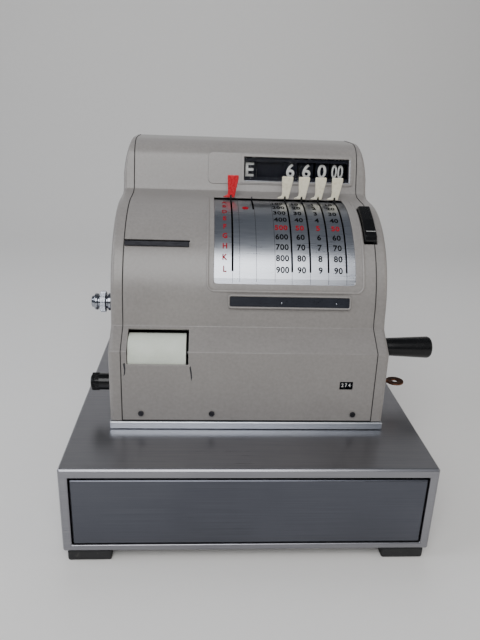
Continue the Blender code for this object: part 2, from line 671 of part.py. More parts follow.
def make_covers():
    for name, side in (("left_cover", -1), ("right_cover", 1)):
        cover = add_lofted(name, cover_sections(side), ENAMEL)
        hollow = on_base(inset(closed_profile(), COVER_RIM), 0.002)
        cutter = add_lofted(name + "_hollow", [(side * (SEAM - 0.01), hollow),
                                               (side * (SIDE - COVER_FACE), hollow)])
        draw_in_shoulder(cover, side)
        draw_in_shoulder(cutter, side)
        cut(cover, cutter)
        low, high = sorted((side * (SEAM + 0.004), side * (SIDE + 0.01)))
        if side > 0:
            holes = ((CRANK_SHAFT_RADIUS + RUNNING_GAP, CRANK_AXIS), (LOCK_RADIUS + GAP, LOCK_AXIS))
            cut(cover, sector_cutter("key_opening_in_cover", SEAM - 0.01, KEY_RIGHT + 2 * GAP,
                                     KEY_ANGLES[0] - 1.2, KEY_ANGLES[1] + 1.2,
                                     CASING_RADIUS - 0.006, CASING_RADIUS + 0.006))
        else:
            holes = ((SPINDLE_RADIUS + RUNNING_GAP, TOTALS_AXIS), (SPINDLE_RADIUS + RUNNING_GAP, FEED_AXIS))
        for i, (radius, axis) in enumerate(holes):
            cut(cover, add_rod(f"{name}_hole_{i}", low, high, radius, axis))


def make_rear_cover():
    half = SEAM - GAP / 2
    top = TOTAL_HEIGHT - HEAD_REAR_ROUNDING - 0.010 - GAP
    louvres = []
    for i in range(6):
        low = PLINTH_TOP + 0.0573 + 0.018 * i
        louvres.append([(-0.06, low), (0.06, low), (0.06, low + 0.005), (-0.06, low + 0.005)])
    outline = [(-half, CASING_BOTTOM), (half, CASING_BOTTOM), (half, top), (-half, top)]
    add_plate("rear_cover", [outline, *louvres], MACHINE_REAR - SHEET, MACHINE_REAR, ENAMEL, plane="XZ")


# ---- Front furniture ----
def make_keyplate():
    margin = 0.003
    outer = CASING_RADIUS - SHEET - GAP
    inner = outer - KEYPLATE_THICKNESS
    start, end = KEYPLATE_START - 1.5, KEYPLATE_END
    loop = [*arc(outer, start, end, 16), *arc(inner, end, start, 16)]
    plate = add_plate("keyplate", [loop], KEYPLATE_LEFT - margin, KEYPLATE_RIGHT + margin, ALUMINIUM)
    low, high = REST_ANGLE - ROW_STEP * ROWS - 1.5, REST_ANGLE + 1.5
    slots = [("letter_slot", LETTER_SLOT, low)]
    slots += [(f"value_slot_{i}", x, low) for i, x in enumerate(VALUE_SLOTS)]
    slots += [("function_slot", FUNCTION_SLOT, REST_ANGLE - FUNCTION_TRAVEL - 1.5)]
    for name, x, first in slots:
        cut(plate, sector_cutter(name, x - SLOT_WIDTH / 2, x + SLOT_WIDTH / 2, first, high,
                                 inner - 0.004, outer + 0.004))


def make_window():
    bezel = face_box("window_bezel", WINDOW_LEFT - BEZEL_MARGIN, WINDOW_RIGHT + BEZEL_MARGIN,
                     WINDOW_HEIGHT + 2 * BEZEL_MARGIN, GAP, BEZEL_PROUD + GAP, ENAMEL)
    cut(bezel, face_box("bezel_opening", WINDOW_LEFT, WINDOW_RIGHT, WINDOW_HEIGHT, -0.01, 0.01))
    face_box("window_glass", WINDOW_LEFT + GAP, WINDOW_RIGHT - GAP, WINDOW_HEIGHT - 2 * GAP,
             -0.0024, -0.0004, GLASS)


def add_tangent_box(name, left, right, height, angle, low, high, material=None, bevel=0.0):
    """A flat strip that lies against the curved front at an angle."""
    y, z = on_arc(CASING_RADIUS, angle)
    return add_box(name, (left, -high, -height / 2), (right, -low, height / 2), material,
                   (0, y, z), (-math.radians(angle), 0, 0), bevel)


def make_small_front_parts():
    tally = add_tangent_box("tally_cover", TALLY_LEFT, TALLY_RIGHT, TALLY_HEIGHT, TALLY_ANGLE, GAP, 0.0022,
                            BLACK)
    round_edges(tally, 0.0006, 1)
    drop = math.degrees(0.0042 / CASING_RADIUS)
    add_tangent_box("tear_bar", -SEAM + 0.001, TEAR_BAR_RIGHT - 0.001, 0.0062, TEAR_ANGLE - drop, GAP,
                    0.0026, MACHINED, bevel=0.0004)
    left, right, low, high = COUNTER_WINDOW
    y = FRONT_FOOT_Y + 0.0013
    add_box("counter_glass", (left + GAP, y, low + GAP), (right - GAP, y + 0.0014, high - GAP), GLASS)


def make_roll_bracket():
    """An upright beside the roll, whose spindle runs through the roll to the left frame plate."""
    foot = CASING_BOTTOM
    y, z = ROLL_AXIS
    upright = [(y - 0.005, foot), (y + 0.026, foot), (y + 0.012, z + 0.008), (y - 0.006, z + 0.008)]
    hole = circle(SPINDLE_RADIUS + RUNNING_GAP, FEED_AXIS)
    plate_low = ROLL_RIGHT + 0.0015
    bracket = add_plate("roll_bracket", [upright, hole], plate_low, plate_low + 0.002, MACHINED)
    spindle = add_rod("roll_spindle", 0.0005 - SHAFT_END, plate_low + 0.001, SPINDLE_RADIUS, ROLL_AXIS)
    flange = add_box("bracket_foot", (plate_low, y - 0.005, foot),
                     (plate_low + 0.016, y + 0.026, foot + 0.002))
    join(bracket, spindle, flange)


def make_lock():
    inner, outer = SIDE - 0.0085, SIDE + 0.0022
    flange, bore = LOCK_RADIUS + 0.0017, 0.0030
    ring = [(outer, flange), (SIDE + GAP, flange), (SIDE + GAP, LOCK_RADIUS), (inner, LOCK_RADIUS),
            (inner, bore), (outer, bore)]
    add_turned("lock_barrel", ring, LOCK_AXIS, CHROME, steps=20, closed=True)
    shank = add_rod("lock_key", inner + 0.001, outer + 0.020, 0.0025, LOCK_AXIS, BRASS)
    y, z = LOCK_AXIS
    bow_x = outer + 0.029
    bow = add_flat_ring("key_bow", bow_x, y, z, 0.0115, 0.0038, 0.0022)
    join(shank, bow)


def add_flat_ring(name, x, y, z, outer, inner, thickness):
    """A flat horizontal ring."""
    ring = add_plate(name, [circle(outer, sides=20), circle(inner, sides=12)], -thickness / 2, thickness / 2,
                     origin=(x, y, z))
    ring.rotation_euler = (0, 0, 0)
    return ring


# ---- Moving pieces of the machine ----
def lever_outline():
    """Inner sector: hub, arm to the keyplate, and a notched fan that the setting is read from."""
    loop = []
    for row in range(ROWS + 1):
        angle = FAN_START + row * ROW_STEP
        loop += [on_arc(SECTOR_RADIUS, angle, (0, 0)), on_arc(SECTOR_RADIUS, angle + 4.2, (0, 0)),
                 on_arc(SECTOR_RADIUS - 0.005, angle + 5.6, (0, 0))]
    last = FAN_START + ROWS * ROW_STEP + 8
    loop += [on_arc(SECTOR_RADIUS, last, (0, 0)), on_arc(0.014, last + 20, (0, 0)),
             on_arc(0.013, 250, (0, 0)), on_arc(0.013, 300, (0, 0)), on_arc(0.014, 350, (0, 0)),
             on_arc(0.020, REST_ANGLE - 30, (0, 0))]
    neck, top = CASING_RADIUS - 0.012, CASING_RADIUS + 0.004
    stem = math.degrees(0.0030 / neck)
    loop += [on_arc(neck, REST_ANGLE - stem, (0, 0)), on_arc(top, REST_ANGLE - 0.8, (0, 0)),
             on_arc(top, REST_ANGLE + 0.8, (0, 0)), on_arc(neck, REST_ANGLE + stem, (0, 0)),
             on_arc(0.030, REST_ANGLE + 8, (0, 0))]
    return loop


def make_lever(label, x, material):
    """The tab is a plate in the XZ plane, leaning with the lever, with a pointer at its foot."""
    add_plate(f"lever_sector_{label}", [lever_outline(), circle(SHAFT_RADIUS + RUNNING_GAP)],
              x - SECTOR_THICKNESS / 2, x + SECTOR_THICKNESS / 2, MACHINED, (0, *PIVOT))
    foot, head = CASING_RADIUS + TAB_LIFT, CASING_RADIUS + TAB_LIFT + TAB_HEIGHT
    left, right, waist = TAB_OFFSET - TAB_WIDTH / 2, TAB_OFFSET + TAB_WIDTH / 2, 0.0047
    outline = [(-0.0098, foot), (waist, foot), (waist + 0.0016, foot + 0.008), (right, head - 0.004),
               (right, head), (left, head), (left, head - 0.004), (-waist + 0.0008, foot + 0.008),
               (-waist + 0.0002, foot + 0.0038), (-0.0098, foot + 0.0014)]
    tab = add_plate(f"lever_tab_{label}", [outline], -0.0019, 0.0019, material, (0, *PIVOT), plane="XZ")
    tab.location.x = x
    tab.rotation_euler = (math.pi / 2 - math.radians(REST_ANGLE - 90), 0, 0)
    root = add_box(f"tab_socket_{label}", (-SECTOR_THICKNESS / 2 - GAP, -0.0035, foot - 0.001),
                   (SECTOR_THICKNESS / 2 + GAP, 0.0035, CASING_RADIUS + 0.0045),
                   origin=(x, *PIVOT), rotation=(-math.radians(REST_ANGLE - 90), 0, 0))
    cut(tab, root)


def make_levers():
    make_lever("letters", LETTER_SLOT, RED)
    for label, x in zip(("hundreds", "tens", "units", "parts"), VALUE_SLOTS):
        make_lever(label, x, WHITE)
    neck, top = CASING_RADIUS - 0.012, CASING_RADIUS + 0.003
    arm = [on_arc(0.010, REST_ANGLE - 80, (0, 0)), on_arc(neck, REST_ANGLE - 1.0, (0, 0)),
           on_arc(top, REST_ANGLE - 0.8, (0, 0)), on_arc(top, REST_ANGLE + 0.8, (0, 0)),
           on_arc(neck, REST_ANGLE + 1.0, (0, 0)), on_arc(0.010, REST_ANGLE + 80, (0, 0)),
           *[on_arc(0.010, angle, (0, 0)) for angle in (200, 230, 260, 290, 320, 345)]]
    half = SECTOR_THICKNESS / 2
    add_plate("function_lever", [arm, circle(SHAFT_RADIUS + RUNNING_GAP)], FUNCTION_SLOT - half,
              FUNCTION_SLOT + half, MACHINED, (0, *PIVOT))


def make_drums():
    half = DRUM_WIDTH / 2
    bore = DRUM_SHAFT_RADIUS + RUNNING_GAP
    rim, web = DRUM_RADIUS - 0.003, 0.004 - half
    profile = [(half, DRUM_RADIUS), (-half, DRUM_RADIUS), (-half, bore), (web, bore), (web, rim),
               (half, rim)]
    for label, x in zip(("letter", "hundreds", "tens", "units", "parts"), DRUM_CENTRES):
        add_turned(f"indicator_drum_{label}", profile, DRUM_AXIS, NAVY, steps=20, x=x, closed=True)


def make_release_key():
    """A long key that lies across the right-hand seam and is pressed in towards the lever shaft."""
    low, high = CASING_RADIUS - 0.004, CASING_RADIUS + KEY_PROUD
    start, end = KEY_ANGLES
    top = [on_arc(high, start + 2.4), on_arc(high - 0.0010, (start + end) / 2), on_arc(high, end - 2.4)]
    loop = [*arc(low, end, start, 5), on_arc(high - 0.004, start), *top, on_arc(high - 0.004, end)]
    key = add_plate("release_key", [loop], KEY_LEFT, KEY_RIGHT, BLACK)
    weld_bevel(key, 0.0012)


def weld_bevel(obj, width):
    round_edges(obj, width, 1)
    obj.modifiers["rounded_edges"].angle_limit = math.radians(50)


def make_totals_shaft():
    """Resetting knob outside, with its shaft through the wheels that hold the totals."""
    face = -SIDE
    end, shaft = SHAFT_END - 0.001, SPINDLE_RADIUS
    knob = [(end, 0), (end, shaft), (face - 0.001, shaft), (face - 0.001, 0.008),
            (face - 0.009, 0.008), (face - 0.009, 0.013), (face - 0.017, 0.013), (face - 0.017, 0.0095),
            (face - 0.0245, 0.0095), (face - 0.0260, 0.008), (face - 0.0260, 0)]
    add_turned("reset_knob", knob, TOTALS_AXIS, CHROME, steps=16)
    wheels, x = [], TALLY_RIGHT - 0.004
    while x > TALLY_LEFT + 0.012:
        wheels += [(x, 0.0115), (x - 0.0120, 0.0115), (x - 0.0124, 0.0095), (x - 0.0144, 0.0095)]
        x -= 0.0148
    bore = shaft + GAP
    profile = [*wheels[:-1], (wheels[-2][0], bore), (wheels[0][0], bore)]
    add_turned("totals_wheels", profile, TOTALS_AXIS, BLACK, steps=12, closed=True)


def make_paper_feed():
    face = -SIDE
    end, shaft = ROLL_RIGHT + 0.009, SPINDLE_RADIUS
    knob = [(end, 0), (end, shaft), (face - 0.0012, shaft), (face - 0.0012, 0.0105),
            (face - 0.022, 0.0105), (face - 0.028, 0.0075), (face - 0.028, 0)]
    add_turned("feed_knob", knob, FEED_AXIS, BLACK, steps=16)
    bore = shaft + GAP
    roller = [(ROLL_RIGHT - 0.004, 0.009), (ROLL_LEFT + 0.004, 0.009), (ROLL_LEFT + 0.004, bore),
              (ROLL_RIGHT - 0.004, bore)]
    add_turned("feed_roller", roller, FEED_AXIS, RUBBER, steps=12, closed=True)
    bore = shaft + RUNNING_GAP
    roll = [(ROLL_RIGHT - 0.003, ROLL_RADIUS), (ROLL_LEFT + 0.0006, ROLL_RADIUS), (ROLL_LEFT + 0.0006, bore),
            (ROLL_RIGHT - 0.003, bore)]
    add_turned("paper_roll", roll, ROLL_AXIS, PAPER, steps=28, closed=True)


def make_counter():
    left, right = COUNTER_WINDOW[0] - 0.001, COUNTER_WINDOW[1] + 0.001
    width = (right - left) / 3
    profile = [(SHAFT_END, 0), (SHAFT_END, SPINDLE_RADIUS), (right, SPINDLE_RADIUS)]
    for i in range(3):
        x = right - i * width
        profile += [(x, COUNTER_RADIUS - 0.001), (x - 0.0004, COUNTER_RADIUS),
                    (x - width + 0.0004, COUNTER_RADIUS), (x - width, COUNTER_RADIUS - 0.001)]
    profile += [(left, 0)]
    add_turned("counter_wheels", profile, COUNTER_AXIS, BLACK, steps=12)


def involute_angle(base, radius):
    ratio = math.sqrt(max(0.0, (radius / base) ** 2 - 1))
    return ratio - math.atan(ratio)


def gear_outline(teeth, module, phase):
    """Involute teeth thinned for backlash; the phase is the direction of one tooth's middle."""
    pitch = teeth * module / 2
    base = pitch * math.cos(math.radians(20))
    tip, root = pitch + 0.85 * module, pitch - 1.15 * module
    half_tooth = math.pi / (2 * teeth) - 0.00035 / pitch
    middle = half_tooth + involute_angle(base, pitch)
    radii = (max(base, root), pitch, tip)
    loop = []
    for i in range(teeth):
        centre = phase + 2 * math.pi * i / teeth
        flank = [(radius, middle - involute_angle(base, radius)) for radius in radii]
        flank = [(root, min(flank[0][1] + 0.01, math.pi / teeth * 0.8)), *flank]
        for radius, turn in flank:
            loop.append((radius * math.cos(centre - turn), radius * math.sin(centre - turn)))
        for radius, turn in reversed(flank):
            loop.append((radius * math.cos(centre + turn), radius * math.sin(centre + turn)))
    return loop


def make_crank():
    direction = math.radians(GEAR_ANGLE)
    add_rod("crank_shaft", SEAM - 0.016, ARM_OUTER + 0.0012, CRANK_SHAFT_RADIUS, CRANK_AXIS, MACHINED)
    gear_outer = GEAR_INNER + GEAR_THICKNESS
    add_plate("crank_gear", [gear_outline(GEAR_TEETH, GEAR_MODULE, direction),
                             circle(CRANK_SHAFT_RADIUS + GAP)], GEAR_INNER, gear_outer, MACHINED,
              (0, *CRANK_AXIS))
    half_pitch = math.pi / GEAR_TEETH
    add_plate("main_gear", [gear_outline(GEAR_TEETH, GEAR_MODULE, direction + math.pi + half_pitch),
                            circle(MAIN_SHAFT_RADIUS + GAP)], GEAR_INNER, gear_outer, MACHINED,
              (0, *MAIN_AXIS))
    add_rod("main_shaft", -SHAFT_END, gear_outer + 0.002, MAIN_SHAFT_RADIUS, MAIN_AXIS, MACHINED)
    make_crank_arm()


def make_crank_arm():
    reach = (GRIP_REST[0] - CRANK_AXIS[0], GRIP_REST[1] - CRANK_AXIS[1])
    length, slope = math.hypot(*reach), math.atan2(reach[1], reach[0])
    outline = []
    ends = (((0, 0), 0.0125, slope + math.pi / 2), (reach, 0.0100, slope - math.pi / 2))
    for centre, radius, start in ends:
        for i in range(9):
            turn = start + math.pi * i / 8
            outline.append((centre[0] + radius * math.cos(turn), centre[1] + radius * math.sin(turn)))
    arm = add_plate("crank_arm", [outline, circle(CRANK_SHAFT_RADIUS + GAP)], ARM_INNER, ARM_OUTER, CHROME,
                    (0, *CRANK_AXIS))
    weld_bevel(arm, 0.0015)
    join(arm, add_rod("grip_pin", ARM_INNER + 0.002, GRIP_OUTER - 0.012, GRIP_PIN_RADIUS, GRIP_REST))
    bore = GRIP_PIN_RADIUS + RUNNING_GAP
    grip = [(GRIP_OUTER, 0), (GRIP_OUTER, GRIP_RADIUS - 0.004), (GRIP_OUTER - 0.0015, GRIP_RADIUS - 0.0012),
            (GRIP_OUTER - 0.005, GRIP_RADIUS), (GRIP_OUTER - 0.030, GRIP_RADIUS - 0.0012),
            (GRIP_INNER + 0.006, GRIP_NECK_RADIUS), (GRIP_INNER + 0.0015, GRIP_NECK_RADIUS - 0.001),
            (GRIP_INNER, GRIP_NECK_RADIUS - 0.003), (GRIP_INNER, bore), (GRIP_OUTER - 0.010, bore),
            (GRIP_OUTER - 0.010, 0)]
    add_turned("crank_grip", grip, GRIP_REST, BLACK, steps=20)


make_cabinet()
make_feet()
make_drawer()
make_latch()
make_base_and_frames()
make_shafts()
make_front_casing()
make_covers()
make_rear_cover()
make_case_screws()
make_keyplate()
make_window()
make_small_front_parts()
make_roll_bracket()
make_lock()
make_levers()
make_drums()
make_release_key()
make_totals_shaft()
make_paper_feed()
make_counter()
make_crank()
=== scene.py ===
"""Looks of the crank cash register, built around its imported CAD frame."""
import json
import math

import bmesh
import bpy
from mathutils import Matrix, Vector

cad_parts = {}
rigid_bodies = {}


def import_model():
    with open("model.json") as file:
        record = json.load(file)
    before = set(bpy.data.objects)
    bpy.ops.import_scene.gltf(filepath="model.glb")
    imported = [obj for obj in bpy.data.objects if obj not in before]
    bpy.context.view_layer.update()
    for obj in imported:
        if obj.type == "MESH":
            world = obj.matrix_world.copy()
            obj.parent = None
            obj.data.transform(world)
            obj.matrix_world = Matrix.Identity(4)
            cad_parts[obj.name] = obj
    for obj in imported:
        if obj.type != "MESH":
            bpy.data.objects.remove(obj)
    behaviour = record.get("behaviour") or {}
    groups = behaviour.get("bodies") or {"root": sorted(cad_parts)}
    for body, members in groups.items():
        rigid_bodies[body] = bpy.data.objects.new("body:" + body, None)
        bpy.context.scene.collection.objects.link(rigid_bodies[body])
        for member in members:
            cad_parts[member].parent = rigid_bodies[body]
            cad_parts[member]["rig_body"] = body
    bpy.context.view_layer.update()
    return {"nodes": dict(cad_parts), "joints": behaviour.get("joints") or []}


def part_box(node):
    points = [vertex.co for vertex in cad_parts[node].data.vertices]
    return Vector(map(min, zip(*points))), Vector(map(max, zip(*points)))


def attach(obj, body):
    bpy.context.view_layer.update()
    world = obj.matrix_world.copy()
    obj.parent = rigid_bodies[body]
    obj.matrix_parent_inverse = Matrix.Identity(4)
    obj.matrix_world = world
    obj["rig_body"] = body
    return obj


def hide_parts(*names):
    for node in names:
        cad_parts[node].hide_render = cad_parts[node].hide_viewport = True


bl_info = {
    "name": "Crank Cash Register Looks",
    "version": (1, 0, 0),
    "blender": (4, 5, 0),
    "location": "3D View > Sidebar > Register",
    "description": "Finishes, printed figures and small fittings for a crank cash register",
    "category": "Object",
}

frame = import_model()
NODES = frame["nodes"]
JOINTS = {joint["name"]: joint for joint in frame["joints"]}

# ---- Places read from the frame, in metres ----
MIDDLE = sum(corner[0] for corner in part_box("drawer_cabinet")) / 2   # the cabinet's centre plane
CASING_LOW, CASING_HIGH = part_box("front_casing")
PLINTH_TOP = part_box("base_plate")[1][2]
PIVOT = JOINTS["lever_units_swing"]["pos_m"][1:]             # the lever shaft, as (Y, Z)
DRUM_AXIS = JOINTS["drum_units_turn"]["pos_m"][1:]
DRUM_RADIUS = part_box("indicator_drum_units")[1][2] - DRUM_AXIS[1]

# ---- The casing's shape, which the seams, borders and prints follow ----
APRON_TOP, APRON_LEAN = 0.0893, 0.0020       # the upright front: height over the plinth, lean back
LEDGE_TOP, LEDGE_PROUD = 0.1103, 0.0020      # the sloping ledge: its top, and its lead on the curve
CASING_RADIUS = 0.122                        # the curved front, about the lever shaft
PLATE_RADIUS = CASING_RADIUS - 0.0024        # the keyplate's outer face
CREST = PIVOT[1] + CASING_RADIUS
HEAD_FOOT = (PIVOT[0] + 0.0335, CREST + 0.0120)              # (Y, Z) of the head's face, low and high
HEAD_BROW = (PIVOT[0] + 0.0465, CREST + 0.0560)
HEAD_LEAN = math.atan2(HEAD_BROW[0] - HEAD_FOOT[0], HEAD_BROW[1] - HEAD_FOOT[1])
FACE_UP = Vector((0, math.sin(HEAD_LEAN), math.cos(HEAD_LEAN)))
FACE_OUT = Vector((0, -math.cos(HEAD_LEAN), math.sin(HEAD_LEAN)))
BACK_ROUNDING = 0.040                        # where the head's top turns down to the back
CURVE_STEPS = 40                             # points up the curved front
ROLL_OPENING_LOW = 0.0733                    # lower edge of the paper roll's opening, over the plinth

# ---- The keyplate: u is metres right of the middle plane, v degrees up the curve ----
ROW_STEP, LOWEST_ROW, ROWS, RED_ROW = 7.0, 27.8, 9, 5
COLUMNS = ((0.0380, 100), (0.0610, 10), (0.0838, 1), (0.1055, 10))   # each column's u and its step
LETTERS, LETTER_COLUMN = "ABDEFGHKL", -0.0312
RED_DOT = (-0.0046, 75.0, 0.0042, 0.0040)    # u, v, half-width, half-height
PLATE_EDGES, PLATE_FOOT, PLATE_CORNER = (-0.044, 0.126), 19.3, 0.0040
BORDER_EDGES, BORDER_SPAN, BORDER_CORNER = (-0.0515, 0.136), (15.0, 93.0), 0.009
LONG_SEAMS = (-0.0135, 0.0066, 0.0290)       # between strips that have no slot between them
SHORT_SEAMS = (0.0495, 0.0716, 0.0936, 0.1156, -0.0220)      # below the slots

# ---- The indicator ----
WINDOW = (MIDDLE - 0.0035, MIDDLE + 0.1405, CREST + 0.0347, 0.0316)  # left, right, mid-height, height
PANEL = (-0.0525, 0.1475, -0.0215, 0.0212, 0.007)            # left, right, low, high, corner
PANEL_HOLE = (-0.0076, 0.1446, -0.0199, 0.0199, 0.0005)
PANEL_LIFT, PANEL_BEVEL = 0.0008, 0.0007
MASK_DEPTHS = (-0.0034, -0.0029)             # behind the head's face
MASK_SIGHT = (-0.0104, 0.0106)               # low and high edge of what the mask leaves open
BLANK_PLACE = (0.0150, 0.0517)               # the window's empty part, between two drums
DRUM_STEP, DRUM_START = 36.0, -1.2           # degrees from figure to figure, and the shown one's place
DRUMS = (("letter", tuple("E" "DBA" " LKHGF")), ("hundreds", tuple("6543210987")),
         ("tens", tuple("6543210987")), ("units", tuple("0987654321")),
         ("parts", ("00", "90", "80", "70", "60", "50", "40", "30", "20", "10")))

# ---- Small fittings ----
TALLY_TILT, TALLY_HEIGHT = math.radians(9.6), 0.0137         # the black strip's lean and height
TALLY_RIVETS = (0.037, 0.103)                # their u
RIVET_PROFILE = ((0.0010, 0.0), (0.0009, 0.0003), (0.0004, 0.0005))  # (radius, height)
COUNTER_FIGURES = "274"
CHIPS = {                                    # bare metal where the enamel is knocked off, as (u, v)
    "left": ((-0.1482, 0.001), (-0.1460, 0.002), (-0.1455, -0.006), (-0.1462, -0.012),
             (-0.1478, -0.015), (-0.1472, -0.007)),
    "right": ((-0.0712, -0.003), (-0.0698, -0.001), (-0.0686, -0.008), (-0.0680, -0.016),
              (-0.0690, -0.021), (-0.0700, -0.011)),
}
KNOB_STEPS = (                               # the chrome knob, as shares of its reach and radius
    (0.00, 0.40), (0.03, 0.52), (0.14, 0.58), (0.16, 0.74), (0.19, 0.78), (0.28, 0.78),
    (0.31, 0.74), (0.33, 0.60), (0.38, 0.60), (0.40, 0.88), (0.43, 0.94), (0.66, 0.94),
    (0.69, 0.88), (0.71, 0.62), (0.76, 0.62), (0.78, 0.78), (0.80, 0.82), (0.90, 0.82),
    (0.92, 0.78), (0.93, 0.46), (0.99, 0.44), (1.00, 0.42))

# ---- The stage ----
SWEEP_HALF_WIDTH, SWEEP_NEAR, SWEEP_BEND, SWEEP_RADIUS, SWEEP_TOP = 4.0, -3.0, 1.3, 0.7, 3.0
LIGHT_TARGET = (MIDDLE, 0.0, 0.22)
SOFTBOXES = (                                # name, place, side in metres, watts, colour
    ("front_softbox", (-0.25, -1.60, 1.62), 1.35, 31, "FFFFFF"),
    ("left_softbox", (-1.9, -0.4, 1.3), 1.3, 19, "F2F6FF"),
    ("right_softbox", (1.9, -0.6, 0.9), 1.2, 7, "FFF6EA"),
    ("top_softbox", (0.0, 0.9, 2.1), 1.4, 11, "F4F7FF"))
CAMERA_YAW, CAMERA_PITCH, CAMERA_ROLL = (math.radians(a) for a in (3.72, 20.26, 2.13))
CAMERA_LEFT, CAMERA_AHEAD, CAMERA_HEIGHT = 0.0563, 0.5615, 0.5037    # from the cabinet's front middle
CAMERA_LENS, SENSOR_HEIGHT = 34.22, 36.0     # millimetres


# ---- Colours and nodes ----
def linear(code):
    """An sRGB colour, as six hex digits, turned to linear with an alpha of one."""
    values = [int(code[i:i + 2], 16) / 255 for i in (0, 2, 4)]
    return (*[v / 12.92 if v <= 0.04045 else ((v + 0.055) / 1.055) ** 2.4 for v in values], 1.0)


def shown(code):
    """The default of a colour property, which Blender shows as sRGB."""
    return linear(code)[:3]


def put(tree, kind, inputs=None, **settings):
    """Adds one node: its settings, then each input from a value or from another node's socket."""
    made = tree.nodes.new(kind)
    for name, value in settings.items():
        setattr(made, name, value)
    for name, value in (inputs or {}).items():
        socket = made.inputs[name]
        if isinstance(value, bpy.types.NodeSocket):
            tree.links.new(value, socket)
        else:
            socket.default_value = value
    return made


def finish(name, light, dark, grain=(0.002, 0.002, 0.002), patch=0.05, rough=(0.3, 0.4), metallic=0.0,
           bump=0.0, marks=None, mark_size=0.02, mark_share=0.05, contrast=1.0, **fixed):
    """A material whose colour drifts in patches, with a fine grain in its gloss and relief.

    grain is the grain's size along X, Y and Z in metres, patch the size of the slow drift, bump the
    relief's depth in metres, and marks the colour of scattered wear marks. light and dark are six
    hex digits, and light may also be a linear colour from the settings.
    """
    light = linear(light) if isinstance(light, str) else (*light, 1.0)
    material = bpy.data.materials.new(name)
    material.use_nodes = True
    tree = material.node_tree
    shader = tree.nodes["Principled BSDF"]
    shader.inputs["Metallic"].default_value = metallic
    for socket, value in fixed.items():
        shader.inputs[socket.replace("_", " ")].default_value = value
    place = put(tree, "ShaderNodeTexCoord").outputs["Object"]
    stretched = put(tree, "ShaderNodeMapping", {"Vector": place, "Scale": [1 / g for g in grain]})
    fine = put(tree, "ShaderNodeTexNoise", {"Vector": stretched.outputs[0], "Scale": 1.0,
                                            "Detail": 3.0})
    slow = put(tree, "ShaderNodeTexNoise", {"Vector": place, "Scale": 1 / patch, "Detail": 5.0,
                                            "Roughness": 0.6})
    both = put(tree, "ShaderNodeMath", {0: fine.outputs["Fac"], 1: slow.outputs["Fac"]},
               operation="ADD")
    drift = put(tree, "ShaderNodeMapRange", {"Value": both.outputs[0], "From Min": 1 - 0.35 / contrast,
                                             "From Max": 1 + 0.35 / contrast})
    colour = put(tree, "ShaderNodeMix", {0: drift.outputs[0], 6: linear(dark), 7: light},
                 data_type="RGBA").outputs[2]
    if marks:
        spots = put(tree, "ShaderNodeTexNoise", {"Vector": place, "Scale": 1 / mark_size,
                                                 "Detail": 8.0, "Roughness": 0.75,
                                                 "Distortion": 0.6})
        edge = 0.66 - mark_share
        worn = put(tree, "ShaderNodeMapRange", {"Value": spots.outputs["Fac"], "From Min": edge,
                                                "From Max": edge + 0.03})
        colour = put(tree, "ShaderNodeMix", {0: worn.outputs[0], 6: colour, 7: linear(marks)},
                     data_type="RGBA").outputs[2]
    tree.links.new(colour, shader.inputs["Base Color"])
    gloss = put(tree, "ShaderNodeMapRange", {"Value": both.outputs[0], "From Min": 0.65,
                                             "From Max": 1.35, "To Min": rough[0],
                                             "To Max": rough[1]})
    tree.links.new(gloss.outputs[0], shader.inputs["Roughness"])
    if bump:
        relief = put(tree, "ShaderNodeBump", {"Height": fine.outputs["Fac"], "Distance": bump,
                                              "Strength": 1.0})
        tree.links.new(relief.outputs[0], shader.inputs["Normal"])
    return material


def clear_glass():
    """Window glass: thin and clear, with a slight smear that dulls its shine in patches."""
    material = finish("clear_window_glass", "14181B", "0E1214", patch=0.03, rough=(0.02, 0.08),
                      IOR=1.45, Specular_IOR_Level=0.25)
    material.node_tree.nodes["Principled BSDF"].inputs["Alpha"].default_value = 0.05
    return material


MATERIALS = {}


